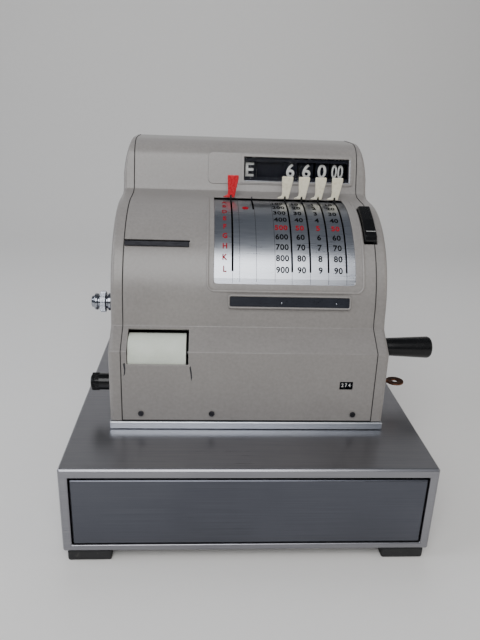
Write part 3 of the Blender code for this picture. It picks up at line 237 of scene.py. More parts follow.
def make_materials(settings):
    """Every finish of the register, named for what the real one is made of.

    Real brush lines and paper fibres are under 0.1 mm and wouldn't show, so they are drawn about
    1 mm apart. Grains are (X, Y, Z) sizes in metres.
    """
    MATERIALS.update({
        # Stoved enamel on sheet steel: warm grey, semi-gloss, with a little orange peel and grime.
        "enamel": finish("stoved_grey_enamel", settings.enamel_colour, "84807D",
                         (0.0035, 0.0035, 0.0035), 0.14, (0.30, 0.40), bump=0.00002, marks="5A544E",
                         mark_size=0.008, mark_share=-0.045, Coat_Weight=0.12, Coat_Roughness=0.18),
        # Brushed stainless sheet: long fine lines along X soften its reflections, with smudges.
        "steel": finish("brushed_stainless_steel", "9B9B9F", "83838A", (0.09, 0.0009, 0.0009), 0.16,
                        (0.26, 0.36), 1.0, 0.000010, contrast=0.8),
        # The same sheet on the drawer's front, drawn darker and duller.
        "drawer": finish("darker_brushed_steel", "63656D", "52545C", (0.10, 0.0009, 0.0009), 0.13,
                         (0.27, 0.38), 1.0, 0.000010, contrast=0.8),
        # Satin anodised aluminium: pale and even, with hairline scratches.
        "aluminium": finish("satin_anodised_aluminium", "D9DDE2", "BFC4CB", (0.05, 0.0012, 0.0012),
                            0.06, (0.28, 0.40), 1.0, 0.00002, marks="8D929B", mark_size=0.012,
                            mark_share=0.01),
        # Keyplate strips: finely brushed across, so highlights stretch along each row.
        "keyplate": finish("brushed_keyplate_aluminium", "BDC0C6", "A4A8B0", (0.03, 0.0010, 0.0010),
                           0.07, (0.25, 0.34), 1.0, 0.000012),
        # Polished nickel plate: sharp bright edges between dark reflections.
        "bright": finish("polished_nickel_plate", "A9ADB4", "8C9098", (0.004, 0.002, 0.002), 0.02,
                         (0.10, 0.22), 1.0, 0.00001, marks="9A9CA3", mark_size=0.006,
                         mark_share=0.0),
        # Blackened steel with a film of oil: nearly black, with a dull metallic sheen.
        "gunmetal": finish("oiled_dark_steel", "47474B", "303034", (0.01, 0.001, 0.001), 0.02,
                           (0.32, 0.46), 1.0, 0.00002),
        # Machined mild steel: plain grey, with fine tool lines across.
        "machined": finish("machined_mild_steel", "A3A3A4", "808083", (0.001, 0.004, 0.001), 0.03,
                           (0.28, 0.42), 1.0, 0.00002),
        # Moulded black phenolic: glossy and faintly mottled, dulled where hands rub it.
        "phenolic": finish("moulded_black_phenolic", "121213", "0A0A0B", (0.002, 0.002, 0.002), 0.03,
                           (0.20, 0.30), bump=0.000008, IOR=1.5, Specular_IOR_Level=0.35),
        # Moulded rubber: matt charcoal, with dusty scuffs.
        "rubber": finish("moulded_black_rubber", "29292A", "19191A", (0.001, 0.001, 0.001), 0.02,
                         (0.65, 0.82), bump=0.00008, marks="3C3B39", mark_size=0.006,
                         mark_share=0.05),
        # Casein plastic tabs, polished by fingers: creamy, or a deep clear red.
        "ivory": finish("ivory_casein_plastic", "EFE9D3", "E0D8BC", (0.003, 0.003, 0.003), 0.012,
                        (0.24, 0.36), bump=0.00001),
        "red": finish("red_casein_plastic", "CE1F2B", "C21A26", (0.003, 0.003, 0.003), 0.012,
                      (0.22, 0.34), bump=0.00001),
        # Sprayed drum enamel: blue-black and nearly matt, so that white figures stand out.
        "navy": finish("navy_drum_enamel", "0E1120", "090B16", (0.002, 0.002, 0.002), 0.02,
                       (0.50, 0.60), bump=0.00001, Specular_IOR_Level=0.15),
        # Lacquered strip: dark slate under a thin glossy coat.
        "tally": finish("dark_lacquered_strip", "23262F", "171921", (0.003, 0.001, 0.001), 0.02,
                        (0.25, 0.38), bump=0.00001, Coat_Weight=0.3),
        # Handled brass: browned, with a soft warm shine.
        "brass": finish("browned_brass", "7F5744", "5A3C2E", (0.002, 0.002, 0.002), 0.01,
                        (0.30, 0.48), 1.0, 0.00003),
        # Uncoated till-roll paper: greenish white and quite matt.
        "paper": finish("till_roll_paper", "DFE4D8", "CBD1C3", (0.0006, 0.0006, 0.0006), 0.02,
                        (0.80, 0.92), bump=0.00003),
        # Printing inks on the keyplate: flat colour that kills the metal's shine.
        "black_ink": finish("black_printing_ink", "121316", "0B0C0E", patch=0.01,
                            rough=(0.80, 0.92), Specular_IOR_Level=0.1),
        "red_ink": finish("red_printing_ink", "A01426", "84101C", patch=0.01, rough=(0.80, 0.92),
                          Specular_IOR_Level=0.1),
        # Figure enamel on the drums and the counter: clean white, slightly dull.
        "white_ink": finish("white_figure_enamel", "FBFBF8", "F0F1EC", patch=0.01,
                            rough=(0.60, 0.75)),
        # Matt black painted shade: stands in for the shade seen down slots, in gaps and along seams.
        "shadow": finish("painted_shade_black", "0D0D0E", "070708", patch=0.02, rough=(0.70, 0.85)),
        "glass": clear_glass(),
    })


# ---- Making meshes ----
def add_piece(name, mesh, finish_name, body, *replaced):
    """Puts a finished mesh in the scene, rides it on its body and hides the CAD parts it replaces."""
    obj = bpy.data.objects.new(name, mesh)
    bpy.context.scene.collection.objects.link(obj)
    mesh.materials.clear()
    mesh.materials.append(MATERIALS[finish_name])
    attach(obj, body)
    if replaced:
        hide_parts(*replaced)
    return obj


def shade(mesh, angle=38):
    mesh.shade_smooth()
    mesh.set_sharp_from_angle(angle=math.radians(angle))


def plain_mesh(obj):
    """The evaluated mesh of an object whose modifiers are then dropped with the object itself."""
    evaluated = obj.evaluated_get(bpy.context.evaluated_depsgraph_get())
    mesh = bpy.data.meshes.new_from_object(evaluated)
    bpy.data.objects.remove(obj)
    return mesh


def loft(rings, ends="cap"):
    """A closed mesh through rings of points, with both ends capped or joined to each other."""
    shape = bmesh.new()
    rows = [[shape.verts.new(point) for point in ring] for ring in rings]
    count = len(rows[0])
    pairs = list(zip(rows, rows[1:]))
    if ends == "loop":
        pairs.append((rows[-1], rows[0]))
    for low, high in pairs:
        for i in range(count):
            j = (i + 1) % count
            shape.faces.new((low[i], low[j], high[j], high[i]))
    if ends == "cap":
        shape.faces.new(rows[0][::-1])
        shape.faces.new(rows[-1])
    bmesh.ops.recalc_face_normals(shape, faces=shape.faces)
    mesh = bpy.data.meshes.new("lofted")
    shape.to_mesh(mesh)
    shape.free()
    shade(mesh)
    return mesh


def merge(meshes, name="merged"):
    """Several meshes made one."""
    shape = bmesh.new()
    for mesh in meshes:
        shape.from_mesh(mesh)
        bpy.data.meshes.remove(mesh)
    merged = bpy.data.meshes.new(name)
    shape.to_mesh(merged)
    shape.free()
    return merged


def rounded_outline(left, right, low, high, radius, steps=6):
    """Points (u, v) round a rectangle with rounded corners, the same number at each corner."""
    points = []
    for cx, cy, start in ((right - radius, high - radius, 0), (left + radius, high - radius, 90),
                          (left + radius, low + radius, 180), (right - radius, low + radius, 270)):
        for i in range(steps + 1):
            turn = math.radians(start + 90 * i / steps)
            points.append((cx + radius * math.cos(turn), cy + radius * math.sin(turn)))
    return points


def on_curve(u, v, lift, radius=CASING_RADIUS, centre=PIVOT):
    """u across from the cabinet's middle, v degrees up from the front, lift out of the surface."""
    turn = math.radians(v)
    reach = radius + lift
    return (MIDDLE + u, centre[0] - reach * math.cos(turn), centre[1] + reach * math.sin(turn))


def on_face(u, v, lift):
    """u across from the cabinet's middle, v up the head's leaning face from the window's middle."""
    height = WINDOW[2]
    depth = HEAD_FOOT[0] + (height - HEAD_FOOT[1]) * math.tan(HEAD_LEAN)
    return Vector((MIDDLE + u, depth, height)) + v * FACE_UP + lift * FACE_OUT


def casing_profile():
    """Points (Y, Z) up the casing's front, over the curve and up the head to its top at the back."""
    front, back, high = CASING_LOW[1], CASING_HIGH[1], CASING_HIGH[2]
    apron = [(front, PLINTH_TOP + 0.0004), (front + APRON_LEAN, PLINTH_TOP + APRON_TOP),
             (PIVOT[0] - CASING_RADIUS - LEDGE_PROUD, PLINTH_TOP + LEDGE_TOP)]
    curve = [on_curve(0, 90 * i / CURVE_STEPS, 0.0)[1:] for i in range(CURVE_STEPS + 1)]
    cove = [(HEAD_FOOT[0] - 0.0125, CREST + 0.0020), (HEAD_FOOT[0] - 0.0035, CREST + 0.0055),
            HEAD_FOOT]
    start, corner, end = ((HEAD_BROW[0] - 0.0035, HEAD_BROW[1] - 0.0115),
                          (HEAD_BROW[0] + 0.0035, high - 0.001), (PIVOT[0] + 0.079, high))
    brow = [tuple((1 - t) ** 2 * a + 2 * t * (1 - t) * b + t * t * c
                  for a, b, c in zip(start, corner, end)) for t in (i / 5 for i in range(6))]
    rear = [(back - BACK_ROUNDING * (1 - math.sin(math.radians(a))),
             high - BACK_ROUNDING * (1 - math.cos(math.radians(a)))) for a in range(0, 91, 18)]
    return [*apron, *curve, *cove, *brow, *rear]


def words(text, height, squeeze=1.0, weight=0.012, depth=0.00006, most=0.0012):
    """Figures as a flat-backed mesh of that height, centred on the origin in X and Y.

    They are cut across every most metres, so that they can follow a curved surface.
    """
    curve = bpy.data.curves.new("words", "FONT")
    curve.body = text
    curve.resolution_u = 3
    curve.offset = weight
    curve.space_character = 1.06
    curve.extrude = 0.01
    obj = bpy.data.objects.new("words", curve)
    bpy.context.scene.collection.objects.link(obj)
    bpy.context.view_layer.update()
    mesh = plain_mesh(obj)
    bpy.data.curves.remove(curve)
    xs, ys = [v.co.x for v in mesh.vertices], [v.co.y for v in mesh.vertices]
    scale = height / (max(ys) - min(ys))
    mesh.transform(Matrix.Translation((-(max(xs) + min(xs)) / 2, -(max(ys) + min(ys)) / 2, 0)))
    mesh.transform(Matrix.Diagonal((scale * squeeze, scale, depth / 0.01, 1)))
    shape = bmesh.new()
    shape.from_mesh(mesh)
    bmesh.ops.remove_doubles(shape, verts=shape.verts, dist=0.0000005)
    cuts = math.ceil(height / most)
    for i in range(1, cuts):
        bmesh.ops.bisect_plane(shape, geom=[*shape.verts, *shape.edges, *shape.faces], dist=0.0000001,
                               plane_co=(0, height * (i / cuts - 0.5), 0), plane_no=(0, 1, 0))
    shape.to_mesh(mesh)
    shape.free()
    return mesh


def wrap(mesh, place):
    """Moves each vertex of a flat mesh to where place(x, y, z) says."""
    for vertex in mesh.vertices:
        vertex.co = place(*vertex.co)
    return mesh


def turned(profile, axis, steps=48):
    """A closed round mesh about an axis along X, from (x, radius) points."""
    circle = [(math.cos(2 * math.pi * i / steps), math.sin(2 * math.pi * i / steps))
              for i in range(steps)]
    return loft([[(x, axis[0] + r * c, axis[1] + r * d) for c, d in circle] for x, r in profile])


def refined(node, finish_name, edge=0.0004, segments=2, angle=35, name=None):
    """A CAD node's own shape with its seams merged, its edges rounded and its curves smooth."""
    source = NODES[node]
    shape = bmesh.new()
    shape.from_mesh(source.data)
    bmesh.ops.remove_doubles(shape, verts=shape.verts, dist=0.000005)
    bmesh.ops.dissolve_limit(shape, angle_limit=math.radians(0.4), verts=shape.verts,
                             edges=shape.edges)
    mesh = bpy.data.meshes.new(node + "_fine")
    shape.to_mesh(mesh)
    shape.free()
    shade(mesh, angle)
    obj = bpy.data.objects.new(node + "_fine", mesh)
    bpy.context.scene.collection.objects.link(obj)
    bevel = obj.modifiers.new("rounded", "BEVEL")
    bevel.width = edge
    bevel.segments = segments
    bevel.limit_method = "ANGLE"
    bevel.angle_limit = math.radians(angle)
    bevel.use_clamp_overlap = False
    bevel.harden_normals = False
    normals = obj.modifiers.new("even_shading", "WEIGHTED_NORMAL")
    normals.keep_sharp = True
    bpy.context.view_layer.update()
    return add_piece(name or node + "_finished", plain_mesh(obj), finish_name, source["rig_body"], node)


def dress(node, finish_name):
    """Keeps a CAD node's shape and gives it a better material."""
    source = NODES[node]
    if not source.material_slots:
        source.data.materials.append(None)
    for slot in source.material_slots:
        slot.material = MATERIALS[finish_name]


# ---- Geometry Nodes ----
def tree_result(name, tree, mesh, values):
    """The plain mesh that a tree makes, with each input set by its socket's identifier."""
    obj = bpy.data.objects.new(name, mesh)
    modifier = obj.modifiers.new(name, "NODES")
    modifier.node_group = tree
    for item in tree.interface.items_tree:
        if item.item_type == "SOCKET" and item.in_out == "INPUT" and item.name in values:
            modifier[item.identifier] = values[item.name]
    bpy.context.scene.collection.objects.link(obj)
    bpy.context.view_layer.update()
    return plain_mesh(obj)


def new_tree(name, **inputs):
    """An empty geometry tree whose inputs are floats, whole numbers or materials."""
    tree = bpy.data.node_groups.new(name, "GeometryNodeTree")
    tree.interface.new_socket("Geometry", in_out="INPUT", socket_type="NodeSocketGeometry")
    tree.interface.new_socket("Geometry", in_out="OUTPUT", socket_type="NodeSocketGeometry")
    for key, kind in inputs.items():
        tree.interface.new_socket(key.replace("_", " "), in_out="INPUT",
                                  socket_type="NodeSocket" + kind)
    return tree, tree.nodes.new("NodeGroupInput").outputs, tree.nodes.new("NodeGroupOutput").inputs


def bead_tree():
    """A rounded bead that follows the edges of the mesh it is given."""
    tree, given, result = new_tree("bead_along_path", Width="Float", Height="Float", Finish="Material")
    path = put(tree, "GeometryNodeMeshToCurve", {"Mesh": given["Geometry"]})
    round_section = put(tree, "GeometryNodeCurvePrimitiveCircle", {"Resolution": 10, "Radius": 1.0})
    size = put(tree, "ShaderNodeCombineXYZ", {"X": given["Width"], "Y": given["Height"], "Z": 1.0})
    section = put(tree, "GeometryNodeTransform", {"Geometry": round_section.outputs["Curve"],
                                                  "Scale": size.outputs[0]})
    bead = put(tree, "GeometryNodeCurveToMesh", {"Curve": path.outputs[0],
                                                 "Profile Curve": section.outputs[0],
                                                 "Fill Caps": True})
    smooth = put(tree, "GeometryNodeSetShadeSmooth", {"Geometry": bead.outputs[0]})
    real = put(tree, "GeometryNodeRealizeInstances", {"Geometry": smooth.outputs[0]})
    coated = put(tree, "GeometryNodeSetMaterial", {"Geometry": real.outputs[0],
                                                   "Material": given["Finish"]})
    tree.links.new(coated.outputs[0], result["Geometry"])
    return tree


def ridge_tree():
    """Ridges along X, set round a knob that turns about X."""
    tree, given, result = new_tree("ridges_round_a_knob", Count="Int", Ring_Radius="Float",
                                   Ridge_Radius="Float", Length="Float", Finish="Material")
    ring = put(tree, "GeometryNodeMeshCircle", {"Vertices": given["Count"],
                                                "Radius": given["Ring Radius"]})
    ridge = put(tree, "GeometryNodeMeshCylinder", {"Vertices": 8, "Radius": given["Ridge Radius"],
                                                   "Depth": given["Length"]})
    placed = put(tree, "GeometryNodeInstanceOnPoints", {"Points": ring.outputs[0],
                                                        "Instance": ridge.outputs["Mesh"]})
    turned = put(tree, "GeometryNodeTransform", {"Geometry": placed.outputs[0],
                                                 "Rotation": (0, math.pi / 2, 0)})
    real = put(tree, "GeometryNodeRealizeInstances", {"Geometry": turned.outputs[0]})
    coated = put(tree, "GeometryNodeSetMaterial", {"Geometry": real.outputs[0],
                                                   "Material": given["Finish"]})
    tree.links.new(coated.outputs[0], result["Geometry"])
    return tree


def path_mesh(points, closed=False):
    mesh = bpy.data.meshes.new("path")
    edges = [(i, i + 1) for i in range(len(points) - 1)]
    if closed:
        edges.append((len(points) - 1, 0))
    mesh.from_pydata([tuple(p) for p in points], edges, [])
    return mesh


def add_bead(name, tree, points, width, height, finish_name, body, closed=False):
    mesh = tree_result(name, tree, path_mesh(points, closed),
                       {"Width": width, "Height": height, "Finish": MATERIALS[finish_name]})
    return add_piece(name, mesh, finish_name, body)


def add_ridges(name, tree, body, x, axis, count, ring, ridge, length, finish_name):
    mesh = tree_result(name, tree, bpy.data.meshes.new("seed"),
                       {"Count": count, "Ring Radius": ring, "Ridge Radius": ridge, "Length": length,
                        "Finish": MATERIALS[finish_name]})
    mesh.transform(Matrix.Translation((x, *axis)))
    shade(mesh)
    return add_piece(name, mesh, finish_name, body)


# ---- What a user would change ----
class RegisterFinishSettings(bpy.types.PropertyGroup):
    """Colours of the register."""
    enamel_colour: bpy.props.FloatVectorProperty(
        name="Casing Enamel", description="Colour of the stoved enamel on the casing", subtype="COLOR",
        size=3, min=0, max=1, default=shown("928E8A"))
    floor_colour: bpy.props.FloatVectorProperty(
        name="Floor", description="Colour of the studio floor", subtype="COLOR", size=3, min=0, max=1,
        default=shown("EDEBE7"))


class RegisterSizeSettings(bpy.types.PropertyGroup):
    """Sizes of the small fittings."""
    edge_rounding: bpy.props.FloatProperty(
        name="Edge Rounding", description="Radius broken on the edges of the casing's sheet",
        unit="LENGTH", default=0.0006, min=0.0001, max=0.002)
    figure_height: bpy.props.FloatProperty(
        name="Keyplate Figure Height", description="Height of the printed figures", unit="LENGTH",
        default=0.0082, min=0.004, max=0.011)
    indicator_height: bpy.props.FloatProperty(
        name="Indicator Figure Height", description="Height of the figures on the indicator drums",
        unit="LENGTH", default=0.0192, min=0.010, max=0.0195)
    border_width: bpy.props.FloatProperty(
        name="Border Width", description="Half-width of the pressed border round the keyplate",
        unit="LENGTH", default=0.0016, min=0.0005, max=0.003)


def settings():
    return bpy.context.scene.register_finish, bpy.context.scene.register_sizes


# ---- Operators ----
class REGISTER_OT_materials(bpy.types.Operator):
    """Make every finish of the register"""
    bl_idname = "register.materials"
    bl_label = "Finishes"

    def execute(self, context):
        make_materials(settings()[0])
        return {"FINISHED"}


class REGISTER_OT_casing(bpy.types.Operator):
    """Finish the enamelled casing, its covers, chips and the keyplate's pressed border, with painted
    shade along its seams, under its lower edge and behind its louvres
    """
    bl_idname = "register.casing"
    bl_label = "Casing"

    def execute(self, context):
        sizes = settings()[1]
        for node in ("front_casing", "left_cover", "right_cover", "rear_cover"):
            refined(node, "enamel", sizes.edge_rounding, 2, 30)
        self.add_louvre_screen()
        beads = bead_tree()
        half_width = (CASING_HIGH[0] - CASING_LOW[0]) / 2
        # Black beads down both side seams: painted shade in the gaps between the covers and the front
        # casing.
        for side, name in ((-1, "left"), (1, "right")):
            seam = [(MIDDLE + side * (half_width + 0.0002), y, z) for y, z in casing_profile()]
            add_bead(name + "_cover_seam_shade", beads, seam, 0.00042, 0.00042, "shadow", "register")
        # A black strip along the casing's lower front edge: painted shadow in the gap over the plinth.
        gap = rounded_outline(-half_width + 0.0004, half_width - 0.0004, 0.0001, 0.0017, 0.0003, 2)
        rings = [[(MIDDLE + u, CASING_LOW[1] - out, PLINTH_TOP + v) for u, v in gap]
                 for out in (-0.0004, 0.00012)]
        add_piece("casing_lower_gap_shade", loft(rings), "shadow", "register")
        for name, chip in CHIPS.items():
            rings = [[self.on_apron(u, ROLL_OPENING_LOW + v, out) for u, v in chip]
                     for out in (-0.0003, 0.00006)]
            add_piece(f"enamel_chip_{name}", loft(rings), "gunmetal", "register")
        add_bead("keyplate_border", beads, self.border_path(), sizes.border_width, 0.0007, "enamel",
                 "register")
        return {"FINISHED"}

    @staticmethod
    def add_louvre_screen():
        """A dark sheet inside the rear cover that stands in for the shaded works, coloured as painted
        shade, so that daylight doesn't reach the keyplate's slots.
        """
        low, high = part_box("rear_cover")
        outline = rounded_outline(MIDDLE - 0.11, MIDDLE + 0.11, low[2] + 0.012, high[2] - 0.03, 0.01)
        rings = [[(x, high[1] - depth, z) for x, z in outline] for depth in (0.0048, 0.0036)]
        add_piece("louvre_shade_screen", loft(rings), "shadow", "register")

    @staticmethod
    def on_apron(u, v, out):
        """u across from the middle, v up from the plinth, out of the casing's leaning lower front."""
        return MIDDLE + u, CASING_LOW[1] + APRON_LEAN * v / APRON_TOP - out, PLINTH_TOP + v

    @staticmethod
    def border_path():
        """Down the keyplate's left side, round both lower corners and up its right side."""
        (left, right), (low, top), corner = BORDER_EDGES, BORDER_SPAN, BORDER_CORNER
        degree = math.radians(1) * CASING_RADIUS                     # metres of arc in one degree
        half = [(left, top - (top - low - corner / degree) * i / 24) for i in range(25)]
        half += [(left + corner - corner * math.cos(math.radians(a)),
                  low + (corner - corner * math.sin(math.radians(a))) / degree)
                 for a in range(10, 90, 10)]
        outline = half + [(right - (u - left), v) for u, v in reversed(half)]
        return [on_curve(u, v, 0.0) for u, v in outline]


class REGISTER_OT_head(bpy.types.Operator):
    """Finish the indicator window, its raised panel, its glass, the dark mask behind it and a painted
    highlight on its rim
    """
    bl_idname = "register.head"
    bl_label = "Indicator Head"

    def execute(self, context):
        refined("window_bezel", "enamel", 0.0004)
        dress("window_glass", "glass")
        left, right, low, high, corner = PANEL
        foot, brim = (rounded_outline(left + g, right - g, low + g, high - g, corner - g)
                      for g in (0, PANEL_BEVEL))
        hole = rounded_outline(*PANEL_HOLE)
        rings = [[on_face(u, v, lift) for u, v in edge] for edge, lift in
                 ((foot, 0.0), (brim, PANEL_LIFT), (hole, PANEL_LIFT), (hole, 0.0))]
        add_piece("window_panel", loft(rings, "loop"), "enamel", "register")
        left, right = WINDOW[0] - MIDDLE, WINDOW[1] - MIDDLE
        half = WINDOW[3] / 2 - 0.0005
        outer = rounded_outline(left + 0.0005, right - 0.0005, -half, half, 0.001, 3)
        inner = rounded_outline(left + 0.0012, right - 0.0012, *MASK_SIGHT, 0.0005, 3)
        deep, near = MASK_DEPTHS
        rings = [[on_face(u, v, depth) for u, v in edge] for edge, depth in
                 ((outer, deep), (outer, near), (inner, near), (inner, deep))]
        add_piece("window_mask", loft(rings, "loop"), "navy", "register")
        # A nickel bead only along the window's lower and right edges: a painted highlight where the rim
        # catches the light.
        below, beside = -half - 0.0012, right + 0.0012
        lit = [on_face(u, v, 0.0016) for u, v in
               ((left + 0.001, below), (right + 0.0005, below), (beside, -half), (beside, half))]
        add_bead("window_rim_painted_highlight", bead_tree(), lit, 0.0005, 0.0005, "bright", "register")
        return {"FINISHED"}


class REGISTER_OT_drums(bpy.types.Operator):
    """Paint the letters and figures on the indicator drums, and lay painted shade over the window's
    empty part
    """
    bl_idname = "register.drums"
    bl_label = "Indicator Drums"

    def execute(self, context):
        height = settings()[1].indicator_height
        # A navy sheet over the window's empty part between two drums: painted shade where the drum
        # shaft would show.
        section = [(a, 0.0) for a in range(-45, 46, 5)] + [(a, -0.0008) for a in range(45, -46, -5)]
        shield = [[on_curve(u, a, lift, DRUM_RADIUS, DRUM_AXIS) for a, lift in section]
                  for u in BLANK_PLACE]
        add_piece("drum_gap_painted_shade", loft(shield), "navy", "register")
        for label, figures in DRUMS:
            node = "indicator_drum_" + label
            low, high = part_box(node)
            dress(node, "navy")
            middle = (low[0] + high[0]) / 2 - MIDDLE
            marks = []
            for i, figure in enumerate(figures):
                if figure == " ":
                    continue
                squeeze = 0.62 if len(figure) == 2 else 0.98
                marks.append(wrap(
                    words(figure, height, squeeze, 0.022, 0.00008),
                    lambda x, y, z, turn=DRUM_START + DRUM_STEP * i: on_curve(
                        middle + x, turn + math.degrees(y / DRUM_RADIUS), z + 0.00012, DRUM_RADIUS,
                        DRUM_AXIS)))
            add_piece(node + "_figures", merge(marks), "white_ink", NODES[node]["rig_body"])
        return {"FINISHED"}


class REGISTER_OT_keyplate(bpy.types.Operator):
    """Finish the keyplate, print its columns of figures and draw the seams between its strips"""
    bl_idname = "register.keyplate"
    bl_label = "Keyplate"

    def execute(self, context):
        refined("keyplate", "keyplate", 0.00015, 1, 40)
        height = settings()[1].figure_height
        black, red = [], []
        for row in range(1, ROWS + 1):
            angle = LOWEST_ROW + ROW_STEP * (ROWS - row)
            for u, step in COLUMNS:
                figure = self.printed(str(row * step), u, angle, height, 0.96)
                (red if row == RED_ROW else black).append(figure)
            red.append(self.printed(LETTERS[row - 1], LETTER_COLUMN, angle, height * 0.92, 0.85))
        red.append(self.dot())
        for name, edge, inward in (("left", PLATE_EDGES[0], 1), ("right", PLATE_EDGES[1], -1)):
            self.add_corner(name, edge, inward)
        add_piece("keyplate_black_figures", merge(black), "black_ink", "register")
        add_piece("keyplate_red_figures", merge(red), "red_ink", "register")
        beads = bead_tree()
        seams = [(u, 20.5, 92.0) for u in LONG_SEAMS] + [(u, 19.6, 26.0) for u in SHORT_SEAMS]
        for i, (u, start, end) in enumerate(seams):
            points = [on_curve(u, start + (end - start) * k / 20, 0.0, PLATE_RADIUS)
                      for k in range(21)]
            add_bead(f"strip_seam_{i + 1}", beads, points, 0.00022, 0.00010, "gunmetal", "register")
        return {"FINISHED"}

    @staticmethod
    def printed(text, u, angle, size, squeeze):
        """Text laid on the keyplate, its middle at u and angle."""
        return wrap(words(text, size, squeeze, 0.030), lambda x, y, z: on_curve(
            u + x, angle + math.degrees(y / PLATE_RADIUS), z + 0.00008, PLATE_RADIUS))

    @staticmethod
    def dot():
        """The round mark beside the short slot."""
        u, angle, half_width, half_height = RED_DOT
        round_about = [(math.cos(a * math.pi / 10), math.sin(a * math.pi / 10)) for a in range(20)]
        rise = math.degrees(half_height / PLATE_RADIUS)
        return loft([[on_curve(u + half_width * c, angle + rise * d, lift, PLATE_RADIUS)
                      for c, d in round_about] for lift in (0.00002, 0.00014)])

    @staticmethod
    def add_corner(name, edge, inward):
        """A fillet of casing that rounds off one of the keyplate's lower corners."""
        foot = PLATE_FOOT - 0.1
        outline = [(edge - inward * 0.0002, foot), (edge + inward * PLATE_CORNER, foot)]
        outline += [(edge + inward * PLATE_CORNER * (1 - math.sin(math.radians(a))),
                     PLATE_FOOT + math.degrees(
                         PLATE_CORNER * (1 - math.cos(math.radians(a))) / CASING_RADIUS))
                    for a in range(0, 91, 15)]
        rings = [[on_curve(u, v, lift) for u, v in outline] for lift in (-0.0020, 0.00004)]
        add_piece(f"keyplate_corner_{name}", loft(rings), "enamel", "register")


class REGISTER_OT_levers(bpy.types.Operator):
    """Finish the setting levers' tabs, and colour their sectors as painted shade"""
    bl_idname = "register.levers"
    bl_label = "Setting Levers"

    def execute(self, context):
        for label in ("letters", "hundreds", "tens", "units", "parts"):
            refined("lever_tab_" + label, "red" if label == "letters" else "ivory", 0.0011, 4, 30)
            # The sectors are coloured as painted shade, so that the slots they show through read black.
            dress("lever_sector_" + label, "shadow")
        dress("function_lever", "gunmetal")
        return {"FINISHED"}


class REGISTER_OT_front_fittings(bpy.types.Operator):
    """Finish the tally strip, tear bar, screws, counter and paper roll"""
    bl_idname = "register.front_fittings"
    bl_label = "Front Fittings"

    def execute(self, context):
        refined("tally_cover", "tally", 0.0003)
        refined("tear_bar", "gunmetal", 0.0003)
        for place in ("left", "middle", "right"):
            refined("case_screw_" + place, "gunmetal", 0.0003, 2, 30)
        self.add_tally_trim()
        refined("paper_roll", "paper", 0.0004)
        for node, finish_name in (("counter_glass", "glass"), ("counter_wheels", "navy"),
                                  ("feed_roller", "rubber"), ("roll_bracket", "machined")):
            dress(node, finish_name)
        low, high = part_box("counter_glass")
        figures = []
        for i, figure in enumerate(COUNTER_FIGURES):
            middle = low[0] + (high[0] - low[0]) * (0.22 + 0.28 * i)
            figures.append(wrap(words(figure, 0.0046, 0.9, 0.0), lambda u, v, w, x=middle: (
                x + u, high[1] + 0.0006 - w, (low[2] + high[2]) / 2 + v)))
        add_piece("counter_figures", merge(figures), "white_ink", "counter")
        return {"FINISHED"}

    @staticmethod
    def add_tally_trim():
        """The pressed rim round the tally strip, and the strip's two rivets."""
        low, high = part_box("tally_cover")
        up = Vector((0, math.sin(TALLY_TILT), math.cos(TALLY_TILT)))
        out = Vector((0, -math.cos(TALLY_TILT), math.sin(TALLY_TILT)))
        centre = Vector(((low[0] + high[0]) / 2, *PIVOT)) + (CASING_RADIUS + 0.0022) * out
        half_u, half_v = (high[0] - low[0]) / 2 + 0.0004, TALLY_HEIGHT / 2 + 0.0004
        rim = [centre + Vector((u, 0, 0)) + v * up
               for u, v in rounded_outline(-half_u, half_u, -half_v, half_v, 0.0030, 6)]
        add_bead("tally_rim", bead_tree(), rim, 0.0013, 0.0013, "enamel", "register", closed=True)
        circle = [Vector((math.cos(a * math.pi / 8), 0, 0)) + math.sin(a * math.pi / 8) * up
                  for a in range(16)]
        rivets = []
        for u in TALLY_RIVETS:
            middle = Vector((MIDDLE + u, centre.y, centre.z)) - 0.0012 * up
            rivets.append(loft([[middle + radius * p + height * out for p in circle]
                                for radius, height in RIVET_PROFILE]))
        add_piece("tally_rivets", merge(rivets), "bright", "register")


class REGISTER_OT_controls(bpy.types.Operator):
    """Finish the crank, the side knobs, the release key and the lock"""
    bl_idname = "register.controls"
    bl_label = "Controls"

    def execute(self, context):
        refined("crank_grip", "phenolic", 0.0012, 3, 25)
        refined("crank_arm", "gunmetal", 0.0008, 2, 30)
        refined("release_key", "phenolic", 0.0006, 3, 25)
        refined("lock_barrel", "bright", 0.0003)
        refined("lock_key", "brass", 0.0004)
        refined("feed_knob", "phenolic", 0.0005)
        ridges = ridge_tree()
        low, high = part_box("reset_knob")
        axis = JOINTS["reset_knob_turn"]["pos_m"][1:]
        radius = (high[2] - low[2]) / 2
        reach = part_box("left_cover")[0][0] - low[0]                  # how far the knob stands out
        body = NODES["reset_knob"]["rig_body"]
        knob = turned([(low[0] + along * reach, share * radius) for along, share in KNOB_STEPS], axis)
        add_piece("reset_knob_stepped", knob, "bright", body, "reset_knob")
        add_ridges("reset_knob_knurling", ridges, body, low[0] + 0.545 * reach, axis, 44,
                   0.945 * radius, 0.0006, 0.22 * reach, "bright")
        low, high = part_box("feed_knob")
        axis = JOINTS["feed_knob_turn"]["pos_m"][1:]
        add_ridges("feed_knob_flutes", ridges, NODES["feed_knob"]["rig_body"], low[0] + 0.0060, axis,
                   22, (high[2] - low[2]) / 2 - 0.0005, 0.0011, 0.0084, "phenolic")
        low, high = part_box("release_key")
        line = [on_curve(low[0] - MIDDLE + (high[0] - low[0]) * t, 51.0, 0.0066)
                for t in (0.12, 0.5, 0.88)]
        add_bead("release_key_line", bead_tree(), line, 0.0004, 0.0002, "white_ink",
                 NODES["release_key"]["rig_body"])
        return {"FINISHED"}


